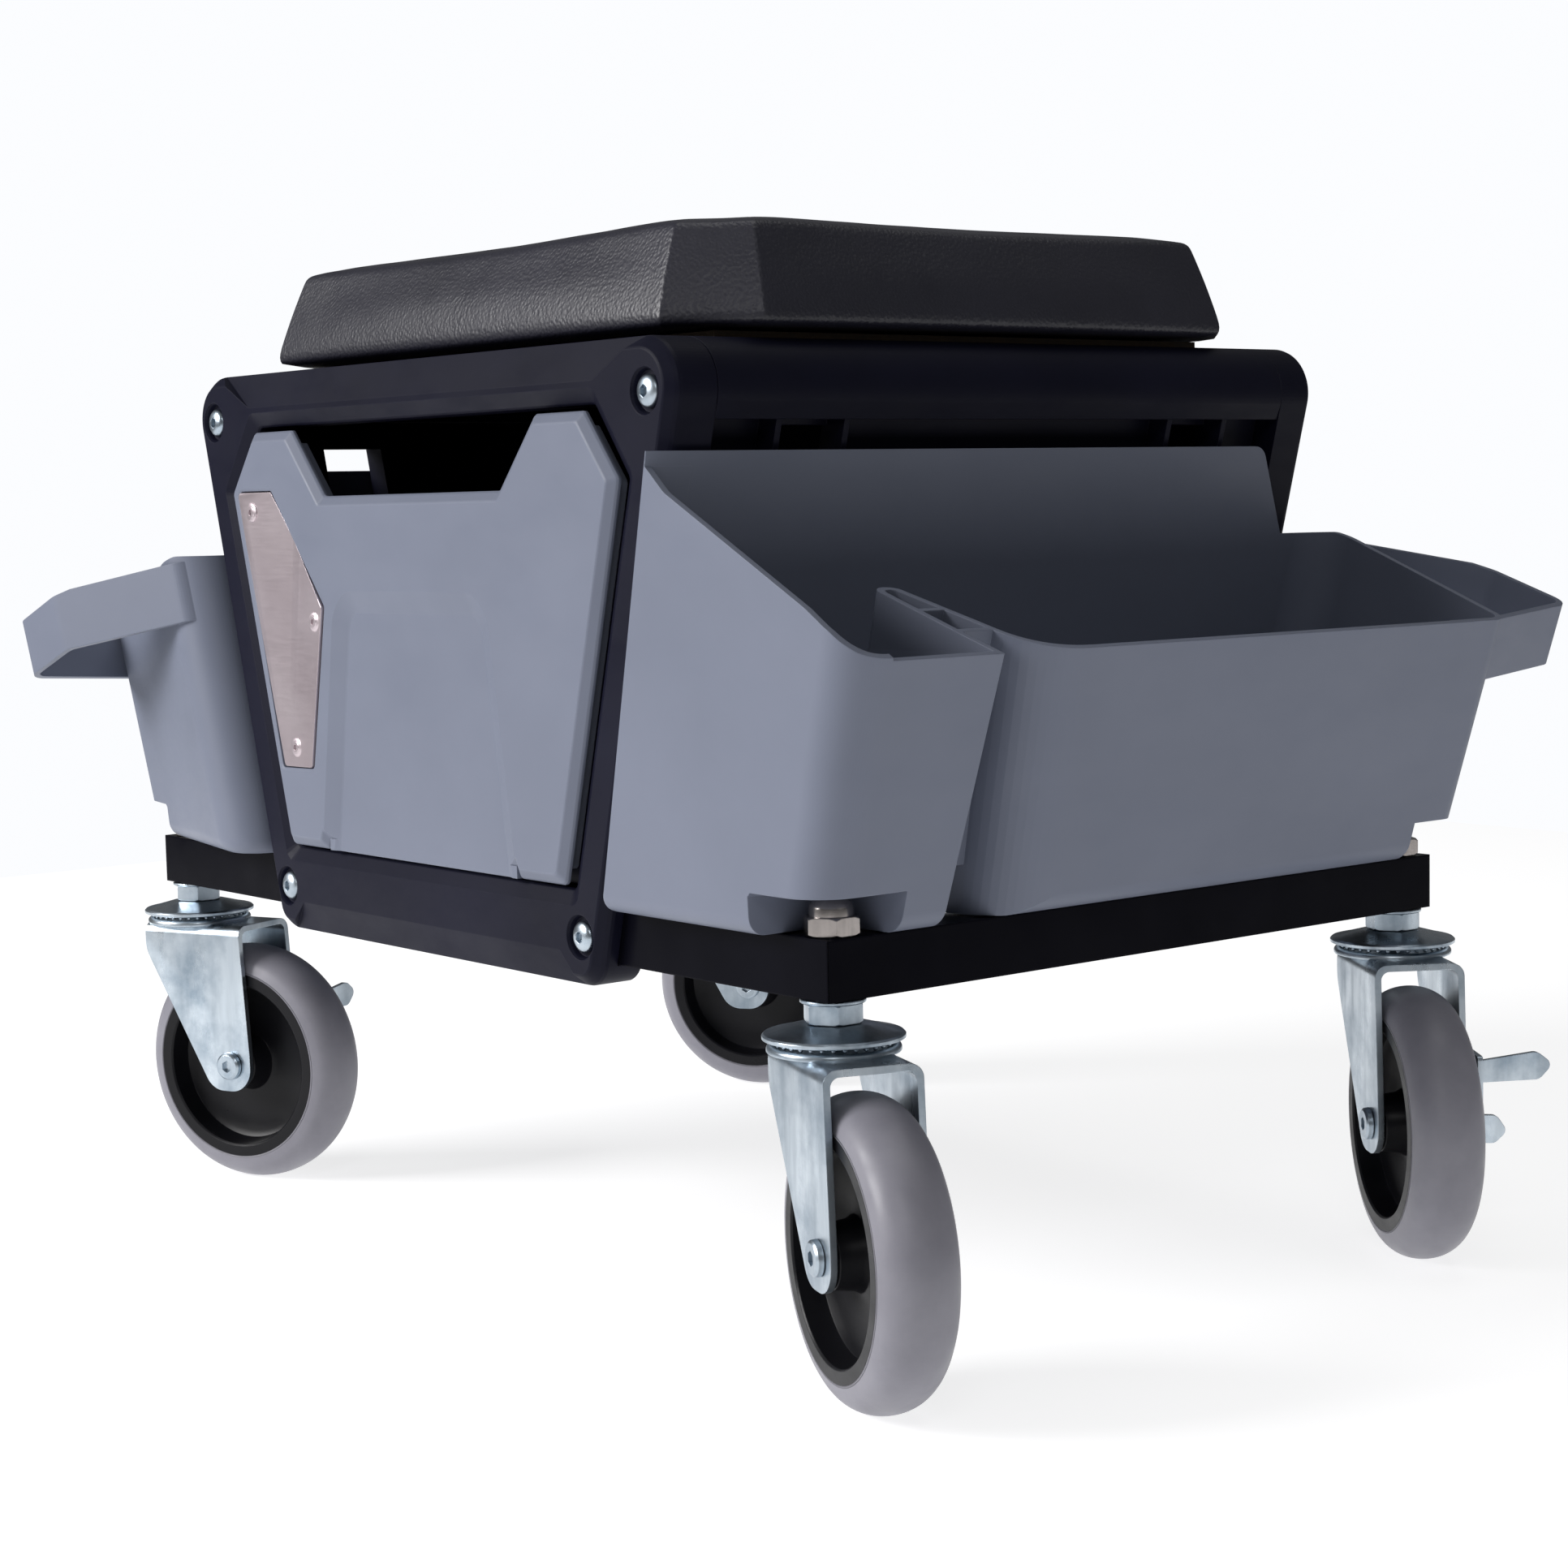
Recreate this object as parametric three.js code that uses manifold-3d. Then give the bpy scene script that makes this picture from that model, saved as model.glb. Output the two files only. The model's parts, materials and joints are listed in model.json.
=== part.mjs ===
// A mechanic's rolling seat: a welded tube chassis on four swivel casters, a body with a drawer at each end,
// a padded seat on top and a lift-off tray on each side.
// Millimetres, +Z up, +X to the right-hand tray, -Y to the front drawer.
// The origin is on the floor, under the middle of the chassis.
import * as THREE from "three";
import { mergeVertices } from "three/addons/utils/BufferGeometryUtils.js";
import Module from "manifold-3d";

const wasm = await Module();
wasm.setup();

// ---------- driving dimensions ----------

const GAP = 0.4; // clearance kept between pieces that touch

const CHASSIS = { halfX: 283, halfY: 186, tube: 25, wall: 1.5, bottom: 160 };
const CHASSIS_TOP = CHASSIS.bottom + CHASSIS.tube;
const STEM_X = CHASSIS.halfX - CHASSIS.tube / 2;
const STEM_Y = CHASSIS.halfY - CHASSIS.tube / 2;

// The body narrows towards the floor: its side planes lean by this much per millimetre of height.
const SIDE_LEAN = 0.2623;
const SIDE_REF = { x: 187, z: 339 };
const BODY_TOP = 428;

const PLATE = { face: 197.5, back: 173, bottom: 150, topRadius: 22, bottomRadius: 14, edge: 5 };
const PLATE_SCREWS = { upper: [186, 405], lower: [128, 172], recess: 9.5, recessDepth: 3.5 };
const TOP_BAND = { low: 411, lowX: 149, highX: 184, depth: 7 };
const BOTTOM_BAND = { high: 165, highX: 112, lowX: 128, depth: 5 };
const OPENING_BEVEL = { size: 6.5, depth: 4 };

const PANEL = { inset: 14, wall: 3, lip: 393, deckEdge: 166, endY: 172.6, foot: 185.6 };
const PANEL_RIBS_Y = [-137, -99.5, 99.5, 137];
const PANEL_RIB = { depth: 12, thick: 3, low: 215 };
const PANEL_WINDOW = { low: 345, high: 391 };

const FLOOR = { halfX: 126, top: 189, runnerTop: 193, runnerX: 80, runnerWidth: 12 };
const DECK = { halfX: PANEL.deckEdge - GAP, thick: 4, flange: 12, flangeWall: 2.6 };
const BOARD = { halfX: 170, halfY: 148, low: BODY_TOP + GAP, high: 431.6 };
const CUSHION = { halfX: 195.5, halfY: 172.8, corner: 32.4, low: 432, high: 482, inset: 14.5, edge: 6 };

const DRAWER = {
  face: 201,
  thick: 13,
  travelGap: 1.6,
  earTop: 398.5,
  notchLow: 366,
  bottom: 194,
  rail: 199,
};
const DRAWER_X = { earOut: 143, earIn: 106, notch: 76.5, shoulder: 166.5, bottom: 119.5, foot: 82 };
const DRAWER_SHOULDER_Z = 369.5;
const DRAWER_EDGE = { size: 4.5, depth: 3.5, round: 3 };
const SCOOP = { topX: 57, topZ: 310, bottomX: 77, bottomZ: 175, depth: 2.5, bevel: 12, round: 10 };
const TUB = { wall: 2.5, low: 193.4, high: 358, lowX: 116, highX: 157, inner: 4 };
const INSERT = { thick: 2.2, proud: 1, pocketGap: 0.5 };
const INSERT_OUTLINE = [[-155.8, 368.8], [-124.6, 368.8], [-76.8, 312.6], [-92, 233.8], [-121.4, 233]];
const INSERT_SCREWS = [[-142.5, 359], [-84.5, 305.5], [-108, 243]];
const INSERT_SCREW = { radius: 4.8, height: 1.2 };

const TRAY = {
  rim: 297,
  bottom: CHASSIS_TOP + 0.6,
  backX: 178.6,
  outerX: 325.5,
  frontY: -207,
  rearY: 190,
  rearBackY: 219,
  wall: 3.1,
  floor: 3.2,
  outerLean: 0.296,
  draft: 0.0002,
  backTop: 380,
  rearTop: 337.5,
  backEndY: 184,
};
const TRAY_CORNERS = { backFront: 14, outerFront: 20, outerRear: 12, backRear: 22, foot: 8 };
const TRAY_NOTCH = { x: 254, y: 156.5, top: 203.5, rearWall: 188.6, rearX: 265.5 };
const LOOP = {
  outX: 312,
  outY: 252,
  farX: 266,
  farY: 249,
  rootX: 186,
  rootY: 212,
  startY: 150,
  height: 31.5,
  top: [[150, 344.8], [262, 321.3], [326, 297], [360, 284.1]],
};

// Everything on the casters is drawn round the stem's axis, the wheel trailing towards +X.
const CASTER = { radius: 63.5, trail: 34.7, legHalf: 21.2, leg: 3 };
const CORNERS = [
  { name: "front_right", x: 1, y: -1, angle: -19.2, brake: false },
  { name: "back_right", x: 1, y: 1, angle: -34, brake: true },
  { name: "front_left", x: -1, y: -1, angle: 22.7, brake: true },
  { name: "back_left", x: -1, y: 1, angle: 32, brake: false },
];
const STEM = { bolt: 6, head: 9.5, hex: 12.7, washer: 13.5, top: 196 };
const STEM_HOLE = 6.6;
const CUP = { inner: 12.5, seat: 22, shoulder: 25, radius: 29.2, low: 143.4, step: 145.4, high: 149.6 };
const NUT = { across: 12.1, height: 7.6, dome: 9.2, domeTop: 7.4, shoulder: 3.5, round: 6.4, peak: 8.4 };
const FORK = { rearX: -20.5, frontX: 43, crownLow: 135.6, crownHigh: 139, race: 27.5, raceTop: 141.4 };
const WHEEL = {
  seat: 50.4,
  bead: 50.9,
  halfHub: 16.6,
  rim: 43.6,
  web: 42.6,
  halfWeb: 4.5,
  boss: 14.5,
  halfBoss: 17.6,
};
const TYRE = { crown: 3.6, shoulder: 10.4, shoulderDrop: 2.6, side: 15.2, sideDrop: 7.6, half: 16.9 };
const AXLE = { radius: 5, head: 7.5, reach: 24.7 };
const BRAKE = { x: 40, z: 85, pin: 3, thick: 2.5 };
const SCREW = { head: 7, headHeight: 4, shank: 4, length: 22, socket: 2.6, boss: 7.5, bossLength: 22 };
const SLOT = {
  endX: 246.5, pocketY: -128, binY: -121, cornerX: 296, cornerY: -79, bendY: -108.5, bendDip: 3.5,
  beyond: 350, round: 3,
  ribs: [272, 297.5], rib: 2.8, ribDrop: 90, pocketSpread: 0.08, binSpread: 0.064,
};

// ---------- materials ----------

const finishes = {
  chassisPaint: { color: 0x0c0c12, roughness: 0.3, metalness: 0.1 },
  bodyPlastic: { color: 0x16161e, roughness: 0.5, metalness: 0 },
  trayPlastic: { color: 0x7c8496, roughness: 0.45, metalness: 0 },
  vinyl: { color: 0x101014, roughness: 0.55, metalness: 0 },
  board: { color: 0x5a4632, roughness: 0.8, metalness: 0 },
  zinc: { color: 0xaab8c4, roughness: 0.3, metalness: 0.9 },
  nickel: { color: 0xb8aea4, roughness: 0.25, metalness: 1 },
  insertMetal: { color: 0xa08e90, roughness: 0.4, metalness: 0.8 },
  tyreRubber: { color: 0x6e6e78, roughness: 0.45, metalness: 0 },
  hubPlastic: { color: 0x0c0c0f, roughness: 0.4, metalness: 0 },
};

function material(finish) {
  return new THREE.MeshStandardMaterial(finishes[finish]);
}

// ---------- solids ----------

// A closed geometry as a solid that can be joined and cut.
function solid(geometry) {
  const bare = geometry.clone();
  bare.deleteAttribute("normal");
  bare.deleteAttribute("uv");
  const merged = mergeVertices(bare, 1e-4);
  return new wasm.Manifold(
    new wasm.Mesh({
      numProp: 3,
      vertProperties: merged.attributes.position.array,
      triVerts: new Uint32Array(merged.index.array),
    }),
  );
}

function geometryOf(shape) {
  const mesh = shape.getMesh();
  const geometry = new THREE.BufferGeometry();
  geometry.setAttribute("position", new THREE.BufferAttribute(mesh.vertProperties, 3));
  geometry.setIndex(new THREE.BufferAttribute(mesh.triVerts, 1));
  geometry.computeVertexNormals();
  return geometry;
}

function box(low, high) {
  const size = high.map((value, i) => value - low[i]);
  const middle = high.map((value, i) => (value + low[i]) / 2);
  return solid(new THREE.BoxGeometry(...size).translate(...middle));
}

function cylinderZ(radius, low, high, x = 0, y = 0, sides = 16) {
  const geometry = new THREE.CylinderGeometry(radius, radius, high - low, sides);
  return solid(geometry.rotateX(Math.PI / 2).translate(x, y, (high + low) / 2));
}

function cylinderY(radius, low, high, x, z, sides = 16) {
  const geometry = new THREE.CylinderGeometry(radius, radius, high - low, sides);
  return solid(geometry.translate(x, (high + low) / 2, z));
}

// Turned round the Z axis: profile points are [radius, height].
function turned(profile, sides) {
  const points = profile.map(([radius, height]) => new THREE.Vector2(radius, height));
  return solid(new THREE.LatheGeometry(points, sides).rotateX(Math.PI / 2));
}

// A closed outline whose corners are rounded; a radius may be one number or one for each corner.
function outline(points, radii = 0) {
  const corners = points.map(([x, y]) => new THREE.Vector2(x, y));
  const shape = new THREE.Shape();
  corners.forEach((corner, i) => {
    const radius = Array.isArray(radii) ? radii[i] : radii;
    const before = corners[(i + corners.length - 1) % corners.length];
    const after = corners[(i + 1) % corners.length];
    const toBefore = before.clone().sub(corner).normalize();
    const toAfter = after.clone().sub(corner).normalize();
    const half = Math.acos(THREE.MathUtils.clamp(toBefore.dot(toAfter), -1, 1)) / 2;
    const reach = radius / Math.tan(half);
    const start = corner.clone().addScaledVector(toBefore, reach);
    const end = corner.clone().addScaledVector(toAfter, reach);
    if (i === 0) shape.moveTo(start.x, start.y);
    else shape.lineTo(start.x, start.y);
    if (radius > 0) shape.quadraticCurveTo(corner.x, corner.y, end.x, end.y);
  });
  return shape;
}

function extruded(shape, depth, bevel, steps) {
  const edge = bevel ?? { size: 0, depth: 0 };
  return new THREE.ExtrudeGeometry(shape, {
    depth: depth - 2 * edge.depth,
    bevelEnabled: edge.depth > 0,
    bevelSize: edge.size,
    bevelOffset: edge.offset ?? -edge.size,
    bevelThickness: edge.depth,
    bevelSegments: edge.segments ?? 1,
    curveSegments: steps,
  }).translate(0, 0, edge.depth);
}

// An outline in the X-Z plane, run along Y from low to high.
function alongY(shape, low, high, bevel, steps = 4) {
  return solid(extruded(shape, high - low, bevel, steps).rotateX(Math.PI / 2).translate(0, high, 0));
}

function alongZ(shape, low, high, bevel, steps = 4) {
  return solid(extruded(shape, high - low, bevel, steps).translate(0, 0, low));
}

// An outline in the Y-Z plane, run along X from low to high.
function alongX(shape, low, high, steps = 4) {
  const turn = new THREE.Matrix4().set(0, 0, 1, low, 1, 0, 0, 0, 0, 1, 0, 0, 0, 0, 0, 1);
  return solid(extruded(shape, high - low, undefined, steps).applyMatrix4(turn));
}

function warped(geometry, move) {
  const position = geometry.attributes.position;
  const point = new THREE.Vector3();
  for (let i = 0; i < position.count; i += 1) {
    point.fromBufferAttribute(position, i);
    move(point);
    position.setXYZ(i, point.x, point.y, point.z);
  }
  return geometry;
}

function joined(shapes) {
  return shapes.reduce((sum, shape) => sum.add(shape));
}

function mirroredX(points) {
  return [...points, ...points.map(([x, z]) => [-x, z]).reverse()];
}

const creeper = new THREE.Group();

function place(name, shape, finish, parent = creeper) {
  const mesh = new THREE.Mesh(geometryOf(shape), material(finish));
  mesh.name = name;
  parent.add(mesh);
  return mesh;
}

function sideX(z) {
  return SIDE_REF.x + (z - SIDE_REF.z) * SIDE_LEAN;
}

// ---------- chassis ----------

// A hollow square tube on the -Y side, mitred at both ends and drilled for the caster stems.
function chassisTube(run, across, turn) {
  const { tube, wall, bottom } = CHASSIS;
  const end = run - GAP / 2;
  const plan = [[-end, 0], [end, 0], [end - tube, tube], [tube - end, tube]];
  const skin = alongZ(outline(plan), bottom, CHASSIS_TOP);
  const inside = box([-end, wall, bottom + wall], [end, tube - wall, CHASSIS_TOP - wall]);
  const stems = CORNERS.map(({ x, y }) => {
    return cylinderZ(STEM_HOLE, bottom - 1, CHASSIS_TOP + 1, x * STEM_X, y * STEM_Y, 12);
  });
  const [screwX, screwZ] = PLATE_SCREWS.lower;
  const screws = [-1, 1].map((side) => {
    const reach = [-CHASSIS.halfY - 1, 2 * wall - CHASSIS.halfY];
    return cylinderY(SCREW.shank + GAP, ...reach, side * screwX, screwZ, 10);
  });
  return skin
    .subtract(inside)
    .translate([0, -across, 0])
    .subtract(joined(screws))
    .rotate([0, 0, turn])
    .subtract(joined(stems));
}

function addChassis() {
  const { halfX, halfY } = CHASSIS;
  place("chassis_tube_front", chassisTube(halfX, halfY, 0), "chassisPaint");
  place("chassis_tube_back", chassisTube(halfX, halfY, 180), "chassisPaint");
  place("chassis_tube_right", chassisTube(halfY, halfX, 90), "chassisPaint");
  place("chassis_tube_left", chassisTube(halfY, halfX, -90), "chassisPaint");
}

// ---------- body ----------

function drawerOpening() {
  const { earOut, shoulder, bottom } = DRAWER_X;
  const gap = DRAWER.travelGap;
  return outline(mirroredX([
    [bottom + gap, DRAWER.bottom - gap],
    [shoulder + gap + 0.6, DRAWER_SHOULDER_Z],
    [earOut + gap + 0.4, DRAWER.earTop + gap + 1],
  ]), DRAWER_EDGE.round);
}

// The front moulding: a tapered frame round the drawer, hooked over and under the chassis tube.
function endPlate() {
  const { face, back, bottom, topRadius, bottomRadius, edge } = PLATE;
  const bevel = { size: edge, depth: edge, segments: 2 };
  const shape = outline(
    [
      [-sideX(bottom), bottom], [sideX(bottom), bottom],
      [sideX(BODY_TOP), BODY_TOP], [-sideX(BODY_TOP), BODY_TOP],
    ],
    [bottomRadius, bottomRadius, topRadius, topRadius],
  );
  const opening = drawerOpening();
  const chamfer = { size: OPENING_BEVEL.size, depth: OPENING_BEVEL.depth, offset: 0 };
  const tubeSlot = box(
    [-CHASSIS.halfX, -CHASSIS.halfY - GAP, CHASSIS.bottom - GAP],
    [CHASSIS.halfX, -back + 1, CHASSIS_TOP + GAP],
  );
  const upperBand = alongX(outline([
    [-face, TOP_BAND.low], [-face - 9, TOP_BAND.low],
    [-face - 9, BODY_TOP], [-face + TOP_BAND.depth, BODY_TOP],
  ]), -TOP_BAND.highX, TOP_BAND.highX).intersect(alongY(outline(mirroredX([
    [TOP_BAND.lowX, TOP_BAND.low], [TOP_BAND.highX, BODY_TOP],
  ])), -face - 10, -back));
  const lowerBand = alongX(outline([
    [-face, BOTTOM_BAND.high], [-face + BOTTOM_BAND.depth, bottom],
    [-face - 9, bottom], [-face - 9, BOTTOM_BAND.high],
  ]), -BOTTOM_BAND.lowX, BOTTOM_BAND.lowX).intersect(alongY(outline(mirroredX([
    [BOTTOM_BAND.lowX, bottom], [BOTTOM_BAND.highX, BOTTOM_BAND.high],
  ])), -face - 10, -back));
  const screwSeats = plateScrewSpots().flatMap(([x, z]) => [
    cylinderY(PLATE_SCREWS.recess, -face - 1, -face + PLATE_SCREWS.recessDepth, x, z),
    cylinderY(SCREW.shank + GAP, -face, -back + 1, x, z, 12),
  ]);
  return alongY(shape, -face, -back + 2 * edge, bevel)
    .intersect(box([-300, -face - 1, 0], [300, -back, 500]))
    .subtract(alongY(opening, -face - 1, -back + 1))
    .subtract(alongY(opening, -face - 25, -face + OPENING_BEVEL.depth, chamfer))
    .subtract(tubeSlot)
    .subtract(upperBand)
    .subtract(lowerBand)
    .subtract(joined(screwSeats));
}

function plateScrewSpots() {
  const { upper, lower } = PLATE_SCREWS;
  return [[-upper[0], upper[1]], upper, [-lower[0], lower[1]], lower];
}

// A button-head screw with a hexagon socket, its head towards -Y.
function plateScrew(x, z) {
  const seat = -PLATE.face + PLATE_SCREWS.recessDepth - 0.2;
  const { head, headHeight, shank, length, socket } = SCREW;
  const profile = [
    [0, 0], [shank, 0], [shank, length], [head, length], [head * 0.6, length + headHeight],
    [0, length + headHeight],
  ];
  return turned(profile, 10)
    .subtract(cylinderZ(socket, length + headHeight * 0.4, length + headHeight + 1, 0, 0, 6))
    .rotate([90, 0, 0])
    .translate([x, seat + length, z]);
}

// The right-hand side moulding: a roll-top rail, an inset wall, four ribs and two windows.
function sidePanel() {
  const { inset, wall, lip, deckEdge, endY, foot } = PANEL;
  const arc = { x: 182, z: BODY_TOP - PLATE.topRadius, outer: PLATE.topRadius };
  const rail = new THREE.Shape();
  rail.moveTo(deckEdge, BODY_TOP);
  rail.absarc(arc.x, arc.z, arc.outer, Math.PI / 2, -SIDE_LEAN, true);
  rail.lineTo(sideX(lip) - 0.6, lip);
  rail.lineTo(sideX(lip) - wall - 0.6, lip);
  rail.absarc(arc.x, arc.z, arc.outer - wall, -SIDE_LEAN, Math.PI / 2, false);
  rail.lineTo(deckEdge, BODY_TOP - wall);
  const wallX = (z) => sideX(z) - inset;
  const wallTop = BODY_TOP - wall - 2;
  const slab = outline([
    [wallX(foot) - wall, foot], [wallX(foot), foot],
    [wallX(wallTop), wallTop], [wallX(wallTop) - wall, wallTop],
  ]);
  const rib = outline([
    [wallX(PANEL_RIB.low) - 1, PANEL_RIB.low], [wallX(PANEL_RIB.low) + 1, PANEL_RIB.low],
    [wallX(PANEL_RIB.low + 40) + PANEL_RIB.depth, PANEL_RIB.low + 40],
    [wallX(lip + 5) + PANEL_RIB.depth, lip + 5], [wallX(lip + 5) - 1, lip + 5],
  ]);
  const ribs = PANEL_RIBS_Y.map((y) => alongY(rib, y - PANEL_RIB.thick / 2, y + PANEL_RIB.thick / 2));
  const windows = [-1, 1].map((side) => {
    const middle = (side * (PANEL_RIBS_Y[2] + PANEL_RIBS_Y[3])) / 2;
    const half = (PANEL_RIBS_Y[3] - PANEL_RIBS_Y[2] - PANEL_RIB.thick) / 2;
    return box([140, middle - half, PANEL_WINDOW.low], [220, middle + half, PANEL_WINDOW.high]);
  });
  const [bossX, bossZ] = PLATE_SCREWS.upper;
  const bosses = [-1, 1].map((side) => {
    const ends = [side * endY, side * (endY - SCREW.bossLength)].sort((a, b) => a - b);
    return cylinderY(SCREW.boss, ends[0], ends[1], bossX, bossZ, 12);
  });
  return joined([alongY(rail, -endY, endY, undefined, 6), alongY(slab, -endY, endY), ...ribs, ...bosses])
    .subtract(joined(windows))
    .subtract(cylinderY(SCREW.shank + GAP, -endY - 1, endY + 1, bossX, bossZ, 12));
}

function floorPanel() {
  const runners = [-1, 1].map((side) => {
    const middle = side * FLOOR.runnerX;
    const half = FLOOR.runnerWidth / 2;
    return box([middle - half, -PANEL.endY, FLOOR.top - 1], [middle + half, PANEL.endY, FLOOR.runnerTop]);
  });
  const sheet = box([-FLOOR.halfX, -PANEL.endY, PANEL.foot], [FLOOR.halfX, PANEL.endY, FLOOR.top]);
  return joined([sheet, ...runners]);
}

function topDeck() {
  const low = BODY_TOP - DECK.thick;
  const flanges = [-1, 1].map((side) => {
    const ends = [side * PANEL.endY, side * (PANEL.endY - DECK.flangeWall)].sort((a, b) => a - b);
    return box([-DECK.halfX, ends[0], low - DECK.flange], [DECK.halfX, ends[1], low + 1]);
  });
  const sheet = box([-DECK.halfX, -PANEL.endY, low], [DECK.halfX, PANEL.endY, BODY_TOP]);
  return joined([sheet, ...flanges]);
}

function divider() {
  const low = FLOOR.runnerTop + GAP;
  const high = BODY_TOP - DECK.thick - GAP;
  const halfAt = (z) => Math.min(sideX(z) - PANEL.inset - PANEL.wall - GAP, PANEL.deckEdge);
  const bend = 405;
  const shape = outline(mirroredX([
    [halfAt(low), low], [halfAt(375), 375], [halfAt(bend), bend], [150, high],
  ]));
  return alongY(shape, -1.5, 1.5);
}

function cushion() {
  const { halfX, halfY, corner, low, high, inset, edge } = CUSHION;
  const plan = outline([
    [-halfX + corner, -halfY], [halfX - corner, -halfY], [halfX, -halfY + corner], [halfX, halfY - corner],
    [halfX - corner, halfY], [-halfX + corner, halfY], [-halfX, halfY - corner], [-halfX, -halfY + corner],
  ]);
  const bevel = { size: edge, depth: edge };
  const block = extruded(plan, high - low, bevel, 1);
  return solid(warped(block, (point) => {
    const share = point.z / (high - low);
    point.x *= 1 - (share * inset) / halfX;
    point.y *= 1 - (share * inset) / halfY;
    point.z += low;
  }));
}

function addBody() {
  const ends = [["front", 0], ["back", Math.PI]];
  const spotNames = ["upper_left", "upper_right", "lower_left", "lower_right"];
  for (const [end, turn] of ends) {
    const group = new THREE.Group();
    group.rotation.z = turn;
    creeper.add(group);
    place(`end_plate_${end}`, endPlate(), "bodyPlastic", group);
    plateScrewSpots().forEach(([x, z], i) => {
      place(`plate_screw_${end}_${spotNames[i]}`, plateScrew(x, z), "zinc", group);
    });
  }
  place("side_panel_right", sidePanel(), "bodyPlastic");
  place("side_panel_left", sidePanel(), "bodyPlastic").rotation.z = Math.PI;
  place("drawer_floor", floorPanel(), "bodyPlastic");
  place("top_deck", topDeck(), "bodyPlastic");
  place("drawer_divider", divider(), "bodyPlastic");
  const board = box([-BOARD.halfX, -BOARD.halfY, BOARD.low], [BOARD.halfX, BOARD.halfY, BOARD.high]);
  place("seat_board", board, "board");
  place("seat_cushion", cushion(), "vinyl");
}

// ---------- drawers ----------

function insertShape() {
  return outline(INSERT_OUTLINE, 1.5);
}

function drawerFront() {
  const { face, thick, earTop, notchLow, bottom, rail } = DRAWER;
  const { earOut, earIn, notch, shoulder, bottom: heel, foot } = DRAWER_X;
  const edge = { size: DRAWER_EDGE.size, depth: DRAWER_EDGE.depth };
  const half = [
    [foot, rail], [foot + 2, bottom], [heel, bottom], [shoulder, DRAWER_SHOULDER_Z],
    [earOut, earTop], [earIn, earTop], [notch, notchLow],
  ];
  const panel = alongY(outline(mirroredX(half)), -face, -face + thick + DRAWER_EDGE.depth, edge)
    .intersect(box([-300, -face - 1, 0], [300, -face + thick, 500]));
  const { topX, topZ, bottomX, bottomZ, depth, bevel, round } = SCOOP;
  const scoop = outline(mirroredX([[bottomX, bottomZ], [topX, topZ]]), [2, round, round, 2]);
  const scoopCut = alongY(scoop, -face - 20, -face + depth, { size: bevel, depth, offset: 0 });
  const pocketDepth = INSERT.thick - INSERT.proud + GAP;
  const pocket = alongY(insertShape(), -face - 20, -face + pocketDepth, {
    size: INSERT.pocketGap, depth: 0.1, offset: 0,
  });
  return panel.subtract(scoopCut).subtract(pocket);
}

// The drawer's own tub, open at the top, as wide at each height as the opening lets through.
function drawerTub() {
  const { wall, low, high, lowX, highX, inner } = TUB;
  const lean = (highX - lowX) / (high - low);
  const front = -DRAWER.face + DRAWER.thick + GAP;
  const outer = alongY(outline([[-lowX, low], [lowX, low], [highX, high], [-highX, high]]), front, -inner);
  const topZ = high + 10;
  const hollow = outline([
    [-lowX + wall, low + wall], [lowX - wall, low + wall],
    [lowX - wall + lean * (topZ - low), topZ], [-lowX + wall - lean * (topZ - low), topZ],
  ]);
  return outer.subtract(alongY(hollow, front + wall, -inner - wall));
}

// The metal inlay on the drawer's face, with its three rivet heads.
function drawerInsert() {
  const front = -DRAWER.face - INSERT.proud;
  const heads = INSERT_SCREWS.map(([x, z]) => {
    const { radius, height } = INSERT_SCREW;
    return turned([[0, -1], [radius, -1], [radius, height * 0.5], [radius * 0.7, height], [0, height]], 10)
      .rotate([90, 0, 0])
      .translate([x, front, z]);
  });
  return joined([alongY(insertShape(), front, front + INSERT.thick), ...heads]);
}

function addDrawers() {
  for (const [end, turn] of [["front", 0], ["back", Math.PI]]) {
    const group = new THREE.Group();
    group.rotation.z = turn;
    creeper.add(group);
    place(`drawer_front_${end}`, drawerFront(), "trayPlastic", group);
    place(`drawer_tub_${end}`, drawerTub(), "bodyPlastic", group);
    place(`drawer_insert_${end}`, drawerInsert(), "insertMetal", group);
  }
}

// ---------- trays ----------

// Plans are drawn at the height of the tray's rim; this leans them with the body and the outer wall.
function leaned(geometry) {
  return warped(geometry, (point) => {
    const rise = point.z - TRAY.rim;
    const across = (point.x - TRAY.backX) / (TRAY.outerX - TRAY.backX);
    point.x += rise * (SIDE_LEAN + (TRAY.outerLean - SIDE_LEAN) * across);
    point.y *= 1 + TRAY.draft * rise;
  });
}

function leanedPrism(shape, low, high, bevel, steps = 4) {
  return solid(leaned(extruded(shape, high - low, bevel, steps).translate(0, 0, low)));
}

function trayPlan(inset) {
  const { backX, outerX, frontY, rearY, rearBackY } = TRAY;
  const { backFront, outerFront, outerRear, backRear } = TRAY_CORNERS;
  const low = [backX + inset, frontY + inset];
  const high = [outerX - inset, rearY - inset];
  return outline(
    [low, [high[0], low[1]], high, [low[0], rearBackY - inset]],
    [backFront, outerFront, outerRear, backRear].map((radius) => radius - inset),
  );
}

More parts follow.
